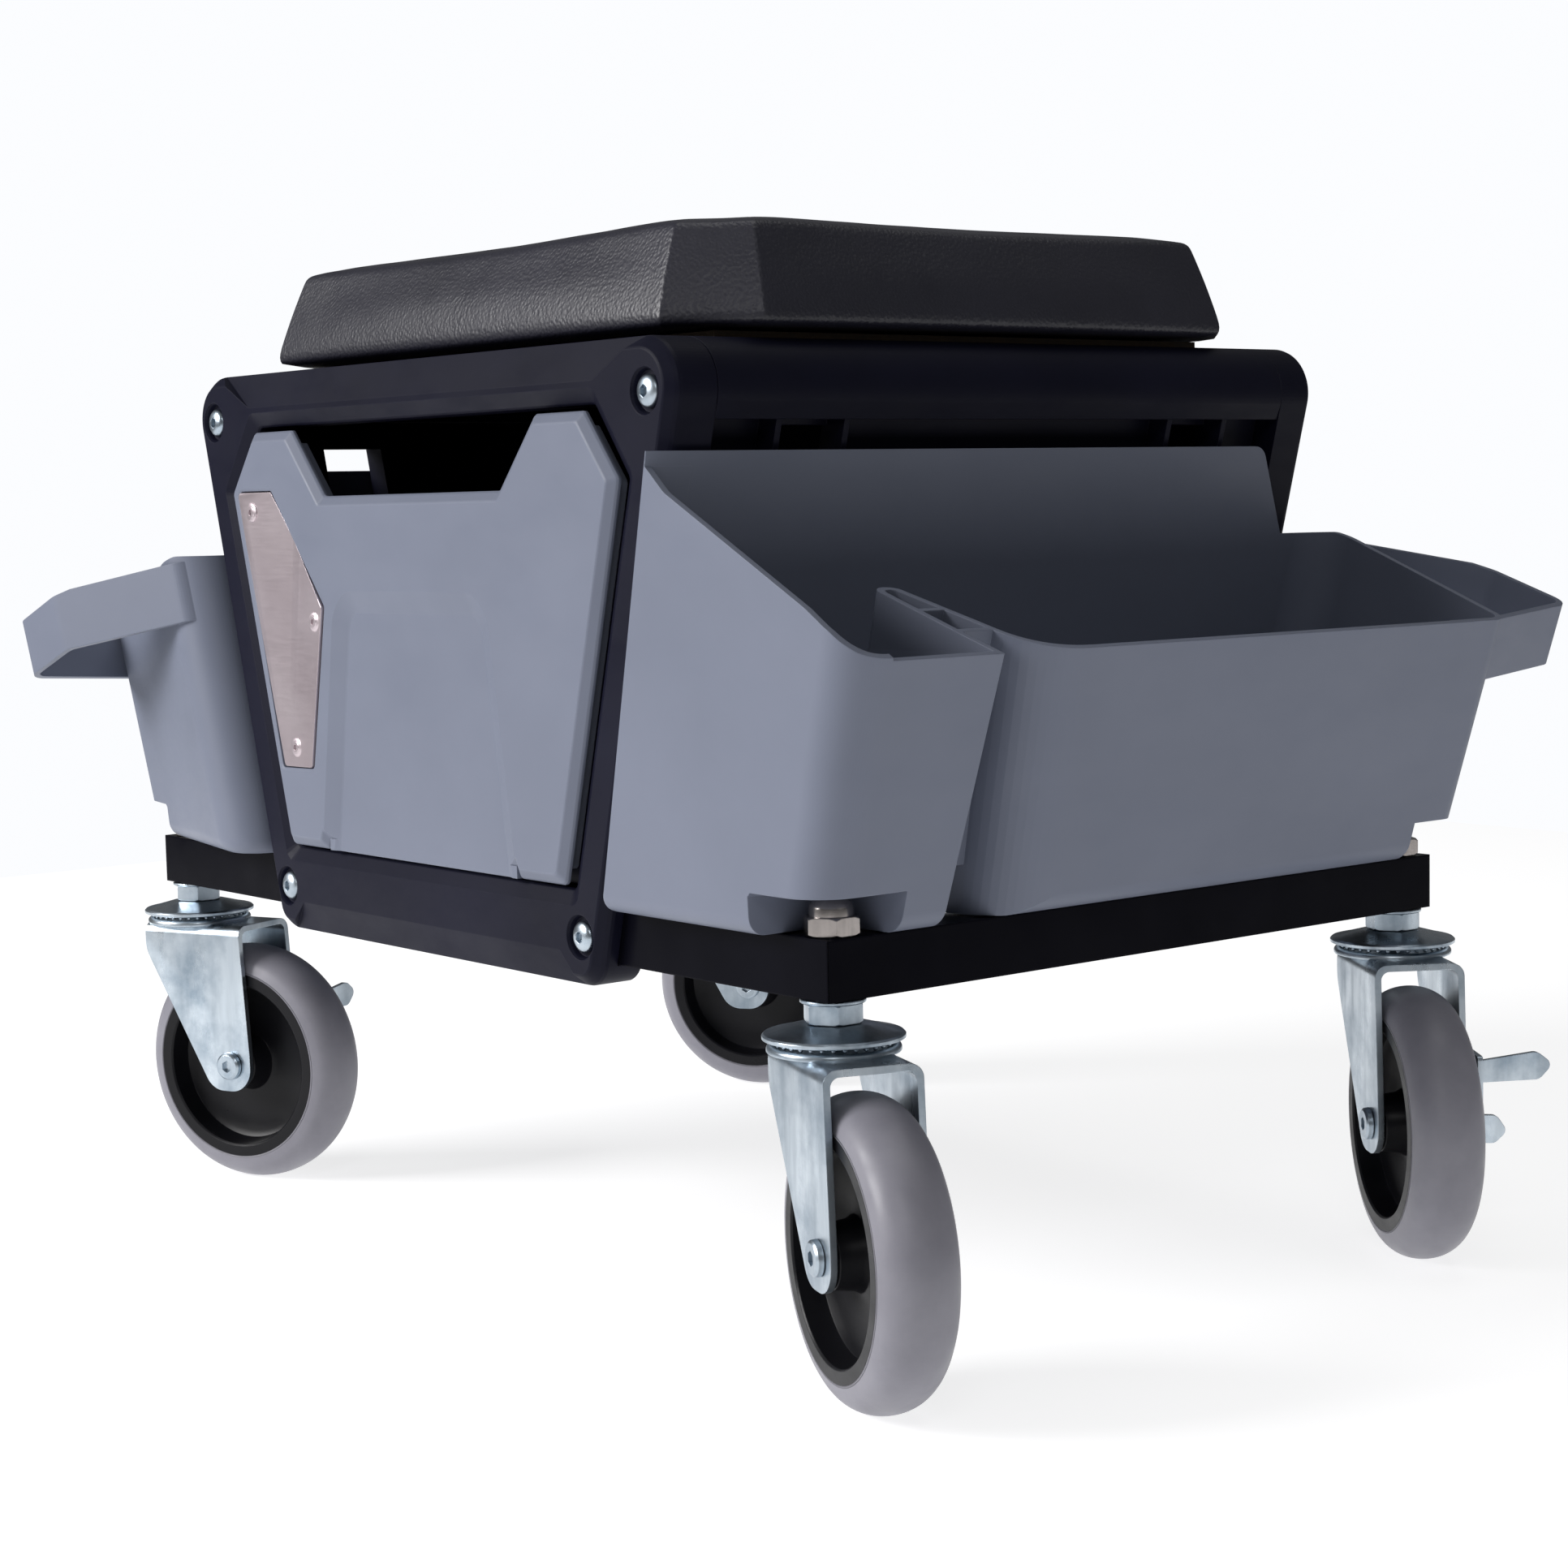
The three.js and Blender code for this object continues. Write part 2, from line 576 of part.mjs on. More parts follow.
// The slot between the small pocket and the main bin, grown by a wall where it cuts the inside.
function slotPlan(grow) {
  const { endX, pocketY, binY, cornerX, cornerY, beyond, round } = SLOT;
  const shape = new THREE.Shape();
  shape.moveTo(endX - grow + round, pocketY - grow);
  shape.lineTo(beyond, pocketY - grow);
  shape.lineTo(beyond, cornerY + grow);
  shape.lineTo(TRAY.outerX - grow, cornerY + grow);
  shape.quadraticCurveTo(TRAY.outerX - grow, SLOT.bendY + grow, cornerX, SLOT.bendY - SLOT.bendDip + grow);
  shape.lineTo(endX - grow + round, binY + grow);
  shape.quadraticCurveTo(endX - grow, binY + grow, endX - grow, (pocketY + binY) / 2);
  shape.quadraticCurveTo(endX - grow, pocketY - grow, endX - grow + round, pocketY - grow);
  return shape;
}

// The slot's sides spread apart below the rim and stand upright above it.
function slotPrism(shape, low, high) {
  const { rim } = TRAY;
  const middle = (SLOT.pocketY + SLOT.binY) / 2;
  const below = warped(extruded(shape, rim - low).translate(0, 0, low), (point) => {
    const drop = rim - point.z;
    point.y += point.y < middle ? -SLOT.pocketSpread * drop : SLOT.binSpread * drop;
  });
  return solid(leaned(below)).add(leanedPrism(shape, rim, high));
}

// The recesses at both outer bottom corners that clear the cap nuts.
// The rear one stops at the end wall, which is only cut back past it.
function nutNotches(grow) {
  const { x, y, top, rearWall, rearX } = TRAY_NOTCH;
  const far = [400, 260, top + grow];
  const front = box([x - grow, -far[1], 0], [far[0], grow - y, far[2]]);
  const rear = box([x - grow, y - grow, 0], [far[0], rearWall, far[2]]);
  const rearEnd = box([rearX - grow, rearWall - 1, 0], far);
  return [front, rear, rearEnd];
}

// What each stretch of the rim leaves standing, as outlines in the X-Z plane.
function rimKeep() {
  const { rim, backTop, rearTop, rearBackY, backEndY, frontY, backX, wall } = TRAY;
  const foot = [[400, 100], [60, 100]];
  const front = outline([
    [60, backTop], [196, backTop], [205, 371], [214, 363], [300, 317.5], [313, 309], [322, 300.5],
    [328, rim],
    [400, rim], ...foot,
  ]);
  const middle = outline([[60, rearTop], [205, rearTop], [326, rim], [400, rim], ...foot]);
  const rear = outline([[60, rearTop], [203, rearTop], [321, 298.5], [327, rim], [400, rim], ...foot]);
  const backLine = (z) => backX + (z - rim) * SIDE_LEAN + wall + 0.02;
  const sheet = alongY(
    outline([[60, 100], [backLine(100), 100], [backLine(400), 400], [60, 400]]),
    frontY - 20,
    rearBackY + 20,
  ).intersect(alongX(
    outline([
      [frontY - 20, 100], [rearBackY + 10, 100], [backEndY, rearTop],
      [160, backTop], [frontY - 20, backTop],
    ]),
    60, 300,
  ));
  return joined([
    alongY(front, frontY - 20, frontY + 19),
    alongY(middle, frontY + 18, 166),
    alongY(rear, 165, rearBackY + 20),
    sheet,
  ]);
}

// The open loop at the rear end of the tray that holds a can or a power tool.
function trayLoop(cavity) {
  const ring = (inset) => outline([
    [TRAY.outerX - inset, LOOP.startY], [TRAY.outerX - inset, 178], [LOOP.outX - inset, LOOP.outY - inset],
    [LOOP.farX + inset * 0.4, LOOP.farY - inset], [LOOP.rootX + inset * 0.6, LOOP.rootY - inset],
    [LOOP.rootX + inset * 0.6, LOOP.startY],
  ], [0, 4, 11 - inset, 17 - inset, 12, 0]);
  const underside = LOOP.top.map(([x, z]) => [x, z - LOOP.height]);
  const band = outline([...underside, ...[...LOOP.top].reverse()]);
  return leanedPrism(ring(0), 200, 400)
    .subtract(leanedPrism(ring(TRAY.wall), 190, 410))
    .intersect(alongY(band, 150, 300))
    .subtract(cavity);
}

// The right-hand tray: a small pocket and a long bin in one moulding, lying against the body's side.
function tray() {
  const { bottom, wall, floor, rim } = TRAY;
  const foot = TRAY_CORNERS.foot;
  const bevel = { size: foot, depth: foot, segments: 3 };
  const innerBevel = { size: foot - wall, depth: foot - wall, segments: 3 };
  const high = 420;
  const cavity = leanedPrism(trayPlan(wall), bottom + floor, high + 20, innerBevel)
    .subtract(slotPrism(slotPlan(wall), 100, high + 30))
    .subtract(joined(nutNotches(wall)));
  const shell = leanedPrism(trayPlan(0), bottom, high, bevel)
    .subtract(slotPrism(slotPlan(0), 120, high + 10))
    .subtract(joined(nutNotches(0)))
    .subtract(cavity);
  const bendY = SLOT.bendY - SLOT.bendDip;
  const ribs = SLOT.ribs.map((x) => {
    const slant = (bendY - SLOT.binY) / (SLOT.cornerX - SLOT.endX);
    const wallY = SLOT.binY + (x - SLOT.endX) * slant;
    const plan = outline([
      [x - SLOT.rib / 2, SLOT.pocketY - 1], [x + SLOT.rib / 2, SLOT.pocketY - 1],
      [x + SLOT.rib / 2, wallY + 1], [x - SLOT.rib / 2, wallY + 1],
    ]);
    return slotPrism(plan, rim - SLOT.ribDrop, high);
  });
  return joined([shell, ...ribs]).intersect(rimKeep()).add(trayLoop(cavity));
}

function addTrays() {
  place("tray_right", tray(), "trayPlastic");
  place("tray_left", tray(), "trayPlastic").rotation.z = Math.PI;
}

// ---------- casters ----------

// The stem: a bolt with a hexagon collar and a washer, held up into the chassis.
function stemBolt() {
  const { bolt, head, hex, washer } = STEM;
  const profile = [
    [0, 132], [head, 132], [head, 135], [bolt, 135], [bolt, 158], [washer, 158],
    [washer, CHASSIS.bottom - GAP], [bolt, CHASSIS.bottom - GAP], [bolt, STEM.top], [0, STEM.top],
  ];
  return turned(profile, 12).add(cylinderZ(hex, 150, 158.2, 0, 0, 6));
}

function swivelCup() {
  const { inner, seat, shoulder, radius, low, step, high } = CUP;
  const bore = STEM.bolt + GAP;
  return turned([
    [bore, step], [seat, step], [shoulder, low], [radius, low], [radius, step + 0.2],
    [inner, high], [bore, high], [bore, step],
  ], 20);
}

function capNut() {
  const { across, height, dome, domeTop, shoulder, round, peak } = NUT;
  const low = CHASSIS_TOP + GAP;
  const hexTop = low + height;
  const cap = turned([
    [0, low + 2], [dome, low + 2], [dome, hexTop + shoulder], [domeTop, hexTop + round], [0, hexTop + peak],
  ], 12);
  return cylinderZ(across, low, hexTop, 0, 0, 6)
    .add(cap)
    .subtract(cylinderZ(STEM.bolt + GAP, low - 1, STEM.top + 1, 0, 0, 12));
}

// The stamped fork: a round race on a flat crown with two slanted legs.
function fork(withBrake) {
  const { legHalf, leg, trail, radius } = CASTER;
  const { rearX, frontX, crownLow, crownHigh, race, raceTop } = FORK;
  const crown = box([rearX, -legHalf, crownLow], [frontX, legHalf, crownHigh]);
  const raceRing = turned([
    [0, crownLow + 0.4], [race, crownLow + 0.4], [race, raceTop - 1.4], [race - 1.5, raceTop], [0, raceTop],
  ], 20);
  const legShape = outline(
    [[rearX, crownHigh], [rearX, 124], [22, 49.5], [48, 49.5], [47.6, 70], [frontX, crownHigh]],
    [0, 14, 11, 12, 6, 0],
  );
  const legs = [-1, 1].map((side) => {
    const ends = [side * legHalf, side * (legHalf - leg)].sort((a, b) => a - b);
    return alongY(legShape, ends[0], ends[1]);
  });
  const body = joined([crown, raceRing, ...legs])
    .subtract(cylinderZ(STEM.bolt + GAP, 130, 145, 0, 0, 12))
    .subtract(cylinderY(AXLE.radius + GAP, -30, 30, trail, radius, 12));
  const pin = cylinderY(BRAKE.pin + GAP, 0, 30, BRAKE.x, BRAKE.z, 10);
  return withBrake ? body.subtract(pin) : body;
}

function axleBolt() {
  const { radius, head, reach } = AXLE;
  const seat = CASTER.legHalf + GAP;
  return turned([
    [0, -reach], [head, -reach], [head, -seat], [radius, -seat], [radius, seat], [head, seat],
    [head, reach], [0, reach],
  ], 12).rotate([90, 0, 0]).translate([CASTER.trail, 0, CASTER.radius]);
}

// Wheels are turned about Z, then laid on their axle with a flat facet on the floor.
function onAxle(profile, sides) {
  return turned([...profile, profile[0]], sides)
    .rotate([0, 0, 180 / sides])
    .rotate([90, 0, 0])
    .translate([CASTER.trail, 0, CASTER.radius]);
}

function wheelHub() {
  const { seat, halfHub, rim, web, halfWeb, boss, halfBoss } = WHEEL;
  const half = [
    [seat, halfHub], [rim, halfHub], [web, halfWeb], [boss, halfWeb], [boss - 1.5, halfBoss],
    [AXLE.radius + GAP, halfBoss],
  ];
  const lower = half.map(([radius, height]) => [radius, -height]).reverse();
  return onAxle([...lower, ...half], 18);
}

function tyre() {
  const sides = 24;
  const flat = 1 / Math.cos(Math.PI / sides);
  const radius = CASTER.radius;
  const half = [
    [radius, TYRE.crown], [radius - TYRE.shoulderDrop, TYRE.shoulder], [radius - TYRE.sideDrop, TYRE.side],
    [WHEEL.bead, TYRE.half],
  ];
  const scaled = half.map(([r, height]) => [r * flat, height]);
  const lower = scaled.map(([r, height]) => [r, -height]).reverse();
  return onAxle([...lower, ...scaled], sides);
}

// The foot brake: a side plate on a pin through the fork's leg, with a long and a short tongue.
function brakeLever() {
  const inner = CASTER.legHalf + 0.8;
  const outer = inner + BRAKE.thick;
  const side = alongY(outline([
    [33, 78], [46, 75], [54, 58], [60, 58], [60, 98], [40, 99], [33, 92],
  ], 2.5), inner, outer);
  const long = outline([[inner, 86], [51, 86.5], [57.5, 93.5], [50, 99.5], [inner, 96]], [0, 5, 3, 5, 0]);
  const short = outline([[inner, 58], [30, 57.5], [36, 63], [31, 70.5], [inner, 71]], [0, 3, 3, 3, 0]);
  const tongues = joined([
    alongX(long, 57.5, 60),
    alongX(short, 57.5, 60),
  ]);
  const pin = cylinderY(BRAKE.pin, WHEEL.halfBoss, outer + 1.5, BRAKE.x, BRAKE.z, 10);
  return joined([side, tongues, pin]);
}

function addCasters() {
  for (const { name, x, y, angle, brake } of CORNERS) {
    const corner = new THREE.Group();
    corner.position.set(x * STEM_X, y * STEM_Y, 0);
    const swivel = new THREE.Group();
    swivel.rotation.z = THREE.MathUtils.degToRad(angle);
    corner.add(swivel);
    creeper.add(corner);
    place(`cap_nut_${name}`, capNut(), "nickel", corner);
    place(`stem_bolt_${name}`, stemBolt(), "zinc", corner);
    place(`swivel_cup_${name}`, swivelCup(), "zinc", corner);
    place(`fork_${name}`, fork(brake), "zinc", swivel);
    place(`axle_bolt_${name}`, axleBolt(), "zinc", swivel);
    place(`wheel_hub_${name}`, wheelHub(), "hubPlastic", swivel);
    place(`tyre_${name}`, tyre(), "tyreRubber", swivel);
    if (brake) place(`brake_lever_${name}`, brakeLever(), "zinc", swivel);
  }
}

addChassis();
addBody();
addDrawers();
addTrays();
addCasters();

export default creeper;
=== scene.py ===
"""The rolling seat's looks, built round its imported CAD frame."""
import json
import math
import random

import bmesh
import bpy
from mathutils import Matrix, Vector
from mathutils.kdtree import KDTree


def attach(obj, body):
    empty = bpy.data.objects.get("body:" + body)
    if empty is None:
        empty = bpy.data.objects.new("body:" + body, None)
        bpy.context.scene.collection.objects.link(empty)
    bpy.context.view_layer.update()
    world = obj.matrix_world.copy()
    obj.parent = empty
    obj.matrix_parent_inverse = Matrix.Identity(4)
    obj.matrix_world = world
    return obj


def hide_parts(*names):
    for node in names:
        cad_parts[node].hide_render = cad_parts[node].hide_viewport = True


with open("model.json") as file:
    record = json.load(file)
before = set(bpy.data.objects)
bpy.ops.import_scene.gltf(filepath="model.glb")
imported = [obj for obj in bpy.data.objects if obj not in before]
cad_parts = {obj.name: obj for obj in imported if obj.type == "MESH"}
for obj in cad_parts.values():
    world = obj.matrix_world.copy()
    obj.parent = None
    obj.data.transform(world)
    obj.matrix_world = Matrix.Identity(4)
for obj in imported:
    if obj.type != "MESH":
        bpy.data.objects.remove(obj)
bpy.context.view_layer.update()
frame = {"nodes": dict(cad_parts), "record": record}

MM = 0.001
SEED = 7

# ---------- driving dimensions, in millimetres ----------

SIDE_LEAN = 0.2623  # how far the body's side planes move out for each millimetre of height
SIDE_X, SIDE_Z = 187.0, 339.0
BODY_TOP = 428.0
CHASSIS_X, CHASSIS_Y, CHASSIS_LOW, CHASSIS_TOP = 283.0, 186.0, 160.0, 185.0
STEM_X, STEM_Y = 270.5, 173.5

PLATE_FACE, PLATE_BACK, PLATE_LOW = -197.5, -173.0, 150.0
UPPER_SCREWS, LOWER_SCREWS = (186.0, 405.0), (128.0, 172.0)

DRAWER_FACE = -201.0
DRAWER_HALF = [
    (82, 199), (84, 194), (119.5, 194), (166.5, 369.5), (143, 398.5), (106, 398.5), (76.5, 366),
]
INSERT = [(-155.8, 368.8), (-124.6, 368.8), (-76.8, 312.6), (-92, 233.8), (-121.4, 233)]
INSERT_SCREWS = [(-142.5, 359), (-84.5, 305.5), (-108, 243)]
FOLD_X, FOLD_Z, FOLD_DEPTH, FOLD_LEAN = -110.5, 300, 2.3, math.radians(7)
FOLD_RIGHT, FOLD_LEFT = math.radians(4.0), math.radians(2.5)
SCREW_HOLE_R = 4.4

TRAY_RIM, TRAY_LOW, TRAY_HIGH = 297.0, 185.6, 420.0
TRAY_BACK, TRAY_OUT, TRAY_FRONT, TRAY_REAR, TRAY_REAR_BACK = 178.6, 325.5, -207.0, 190.0, 219.0
TRAY_WALL, TRAY_FLOOR, TRAY_FOOT = 3.1, 3.2, 8.0
TRAY_OUT_LEAN, TRAY_DRAFT = 0.296, 0.0002
TRAY_TOP, TRAY_REAR_TOP = 380.0, 337.5
SLOT_SPREAD = (0.08, 0.064)  # how far the slot's two sides part for each millimetre below the rim
SLOT_MIDDLE = -124.5
SLOT_NOSE_X, SLOT_POCKET, SLOT_BIN, SLOT_BEND, SLOT_MOUTH = 246.5, -128, -121, -108.5, -79

WHEEL_R, TRAIL = 63.5, 34.7
FORK_HALF, FORK_SHEET = 21.2, 3.0
BRAKE_PIVOT = (40, 85)

SEAT_HALF_X, SEAT_HALF_Y, SEAT_CUT_CORNER = 194.8, 172.1, 32.4
SEAT_LOW, SEAT_HIGH, SEAT_INSET, SEAT_CROWN = 432.2, 478.8, 14.5, 0.8
SWELL_VOXEL, SWELL_HELD, SWELL_CAP, SWELL_REACH = 4.0, 0.006, 0.0028, 0.014
SWELL_FRAMES = 20

CORNERS = [
    ("front_right", 1, -1, -19.2, False),
    ("back_right", 1, 1, -34.0, True),
    ("front_left", -1, -1, 22.7, True),
    ("back_left", -1, 1, 32.0, False),
]


def side_x(z):
    return SIDE_X + (z - SIDE_Z) * SIDE_LEAN


# ---------- outlines ----------

def turn_sign(points):
    area = sum(a[0] * b[1] - a[1] * b[0] for a, b in zip(points, points[1:] + points[:1]))
    return 1 if area > 0 else -1


def grown(points, reach):
    """The outline with each side moved outwards by reach (inwards if it is negative)."""
    sign = turn_sign(points)
    count = len(points)
    moved = []
    for i in range(count):
        before = Vector(points[i - 1])
        corner = Vector(points[i])
        after = Vector(points[(i + 1) % count])
        a = (corner - before).normalized()
        b = (after - corner).normalized()
        normal_a = Vector((a.y, -a.x)) * sign
        normal_b = Vector((b.y, -b.x)) * sign
        bisector = normal_a + normal_b
        moved.append(tuple(corner + bisector * (2 * reach / bisector.length_squared)))
    return moved


def rounded(points, radii, steps=8):
    """The outline with each corner turned into an arc; every corner gives steps + 1 points."""
    radii = radii if isinstance(radii, (list, tuple)) else [radii] * len(points)
    result = []
    for i, corner in enumerate(points):
        corner = Vector(corner)
        to_before = (Vector(points[i - 1]) - corner).normalized()
        to_after = (Vector(points[(i + 1) % len(points)]) - corner).normalized()
        radius = max(radii[i], 0.02)
        half = to_before.angle(to_after) / 2
        reach = radius / math.tan(half)
        centre = corner + (to_before + to_after).normalized() * (radius / math.sin(half))
        start = corner + to_before * reach - centre
        end = corner + to_after * reach - centre
        sweep = start.angle_signed(end)
        for step in range(steps + 1):
            turned = Matrix.Rotation(-sweep * step / steps, 2) @ start
            result.append(tuple(centre + turned))
    return result


def mirrored(points):
    return list(points) + [(-x, z) for x, z in reversed(points)]


# ---------- solids ----------

def make(name, bm):
    bmesh.ops.remove_doubles(bm, verts=bm.verts, dist=1e-4)
    bmesh.ops.recalc_face_normals(bm, faces=bm.faces)
    mesh = bpy.data.meshes.new(name)
    bm.to_mesh(mesh)
    bm.free()
    obj = bpy.data.objects.new(name, mesh)
    bpy.context.scene.collection.objects.link(obj)
    return obj


def loft(rings):
    """A closed solid through rings of 3-D points, each with the same number of points."""
    bm = bmesh.new()
    rows = [[bm.verts.new(point) for point in ring] for ring in rings]
    for low, high in zip(rows, rows[1:]):
        for i in range(len(low)):
            j = (i + 1) % len(low)
            bm.faces.new((low[i], low[j], high[j], high[i]))
    bm.faces.new(list(reversed(rows[0])))
    bm.faces.new(rows[-1])
    return make("solid", bm)


def along_x(points, low, high):
    return loft([[(x, y, z) for y, z in points] for x in (low, high)])


def along_y(levels):
    """A solid from [(y, outline in X-Z), ...]."""
    return loft([[(x, y, z) for x, z in points] for y, points in levels])


def along_z(levels):
    return loft([[(x, y, z) for x, y in points] for z, points in levels])


def block(low, high):
    points = [(low[0], low[1]), (high[0], low[1]), (high[0], high[1]), (low[0], high[1])]
    return along_z([(low[2], points), (high[2], points)])


def circle(radius, count, x=0.0, y=0.0):
    angles = [2 * math.pi * (i + 0.5) / count for i in range(count)]
    return [(x + radius * math.cos(a), y + radius * math.sin(a)) for a in angles]


def rod_y(radius, low, high, x, z, count=32):
    section = circle(radius, count, x, z)
    return along_y([(low, section), (high, section)])


def rod_z(radius, low, high):
    section = circle(radius, 32)
    return along_z([(low, section), (high, section)])


def turned(profile, count, closed=False):
    """A solid turned about Z from [(radius, z), ...]; closed joins the last point to the first."""
    bm = bmesh.new()
    rows = []
    for i in range(count):
        angle = 2 * math.pi * i / count
        across, along = math.cos(angle), math.sin(angle)
        rows.append([bm.verts.new((radius * across, radius * along, z)) for radius, z in profile])
    pairs = list(range(len(profile) - 1)) + ([len(profile) - 1] if closed else [])
    for i in range(count):
        here, there = rows[i], rows[(i + 1) % count]
        for k in pairs:
            after = (k + 1) % len(profile)
            bm.faces.new((here[k], there[k], there[after], here[after]))
    bmesh.ops.remove_doubles(bm, verts=bm.verts, dist=1e-4)
    flat = [face for face in bm.faces if face.calc_area() < 1e-9]
    bmesh.ops.delete(bm, geom=flat, context="FACES")
    return make("turned", bm)


def moved(obj, matrix):
    obj.data.transform(matrix)
    return obj


def evaluated_mesh(obj):
    """The mesh that the object's modifiers give at the current frame."""
    bpy.context.view_layer.update()
    return bpy.data.meshes.new_from_object(obj.evaluated_get(bpy.context.evaluated_depsgraph_get()))


def combine(base, *steps):
    """base with each (operation, solid) applied in turn; the other solids are used up."""
    for operation, other in steps:
        modifier = base.modifiers.new("cut", "BOOLEAN")
        modifier.operation = operation
        modifier.solver = "MANIFOLD"
        modifier.object = other
    mesh = evaluated_mesh(base)
    base.modifiers.clear()
    base.data = mesh
    for _, other in steps:
        bpy.data.objects.remove(other)
    return base


def cut(base, *others):
    return combine(base, *[("DIFFERENCE", other) for other in others])


def join(base, *others):
    return combine(base, *[("UNION", other) for other in others])


def keep(base, other):
    return combine(base, ("INTERSECT", other))


def copy_of(obj):
    twin = obj.copy()
    twin.data = obj.data.copy()
    bpy.context.scene.collection.objects.link(twin)
    return twin


# ---------- materials ----------

class Paint:
    """A node material built step by step."""

    def __init__(self, name):
        self.name = name
        self.material = bpy.data.materials.new(name)
        self.material.use_nodes = True
        self.nodes = self.material.node_tree.nodes
        self.links = self.material.node_tree.links
        self.shader = self.nodes["Principled BSDF"]
        coords = self.add("ShaderNodeTexCoord")
        self.place = coords.outputs["Object"]

    def add(self, kind):
        return self.nodes.new(kind)

    def set(self, **values):
        for key, value in values.items():
            socket = key.replace("_", " ").title().replace("Ior", "IOR")
            self.shader.inputs[socket].default_value = value

    def stretched(self, scale):
        mapping = self.add("ShaderNodeMapping")
        mapping.inputs["Scale"].default_value = scale
        self.links.new(self.place, mapping.inputs["Vector"])
        return mapping.outputs["Vector"]

    def noise(self, scale, detail=3.0, roughness=0.5, vector=None):
        node = self.add("ShaderNodeTexNoise")
        node.inputs["Scale"].default_value = scale
        node.inputs["Detail"].default_value = detail
        node.inputs["Roughness"].default_value = roughness
        self.links.new(vector or self.place, node.inputs["Vector"])
        return node.outputs["Fac"]

    def cells(self, scale, vector):
        node = self.add("ShaderNodeTexVoronoi")
        node.feature = "SMOOTH_F1"
        node.inputs["Scale"].default_value = scale
        self.links.new(vector, node.inputs["Vector"])
        return node.outputs["Distance"]

    def ramp(self, source, stops):
        node = self.add("ShaderNodeValToRGB")
        elements = node.color_ramp.elements
        while len(elements) < len(stops):
            elements.new(0.5)
        for element, (at, colour) in zip(elements, stops):
            element.position = at
            element.color = (*colour, 1.0)
        self.links.new(source, node.inputs["Fac"])
        return node.outputs["Color"]

    def spread(self, source, low, high):
        node = self.add("ShaderNodeMapRange")
        node.inputs["To Min"].default_value = low
        node.inputs["To Max"].default_value = high
        node.inputs["From Min"].default_value = 0.3
        node.inputs["From Max"].default_value = 0.7
        self.links.new(source, node.inputs["Value"])
        return node.outputs["Result"]

    def mix(self, factor, a, b):
        node = self.add("ShaderNodeMix")
        node.data_type = "RGBA"
        for socket, value in (("A", a), ("B", b)):
            target = [s for s in node.inputs if s.name == socket and s.type == "RGBA"][0]
            if isinstance(value, tuple):
                target.default_value = (*value, 1.0)
            else:
                self.links.new(value, target)
        self.links.new(factor, node.inputs["Factor"])
        return [s for s in node.outputs if s.type == "RGBA"][0]

    def edges(self, radius=0.5):
        """1 along edges, where the softened normal turns away from the face's own."""
        bevel = self.add("ShaderNodeBevel")
        bevel.samples = 4
        bevel.inputs["Radius"].default_value = radius * MM
        geometry = self.add("ShaderNodeNewGeometry")
        dot = self.add("ShaderNodeVectorMath")
        dot.operation = "DOT_PRODUCT"
        self.links.new(bevel.outputs["Normal"], dot.inputs[0])
        self.links.new(geometry.outputs["Normal"], dot.inputs[1])
        return self.ramp(dot.outputs["Value"], [(0.90, (1, 1, 1)), (0.985, (0, 0, 0))])

    def join_to(self, socket, source):
        self.links.new(source, self.shader.inputs[socket])

    def bump(self, heights, soften=0.6):
        """Chains bumps [(height, strength, mm), ...] over edges softened by a radius in mm."""
        normal = None
        if soften:
            bevel = self.add("ShaderNodeBevel")
            bevel.samples = 4
            bevel.inputs["Radius"].default_value = soften * MM
            normal = bevel.outputs["Normal"]
        for height, strength, distance in heights:
            node = self.add("ShaderNodeBump")
            node.inputs["Strength"].default_value = strength
            node.inputs["Distance"].default_value = distance * MM
            self.links.new(height, node.inputs["Height"])
            if normal:
                self.links.new(normal, node.inputs["Normal"])
            normal = node.outputs["Normal"]
        self.links.new(normal, self.shader.inputs["Normal"])


def moulded_plastic(name, base, lighter, roughness, grain):
    sheen_spread, soften = 0.08, 0.7
    paint = Paint(name)
    cloud = paint.noise(9.0, 4.0, 0.6)
    colour = paint.ramp(cloud, [(0.3, base), (0.7, lighter)])
    # Edges get a lighter colour: partly edge wear, partly a painted highlight along the rounded edges.
    wear_and_edge_highlight = tuple(min(1.0, c * 1.35 + 0.01) for c in lighter)
    edge = paint.edges()
    paint.join_to("Base Color", paint.mix(edge, colour, wear_and_edge_highlight))
    smear = paint.noise(22.0, 5.0, 0.65, paint.stretched((1.0, 0.6, 2.2)))
    paint.join_to("Roughness", paint.spread(smear, roughness - sheen_spread, roughness + sheen_spread))
    paint.bump([
        (paint.noise(2600.0, 2.0), grain, 0.05),
        (paint.noise(55.0, 2.0), 0.10, 0.35),
    ], soften)
    return paint


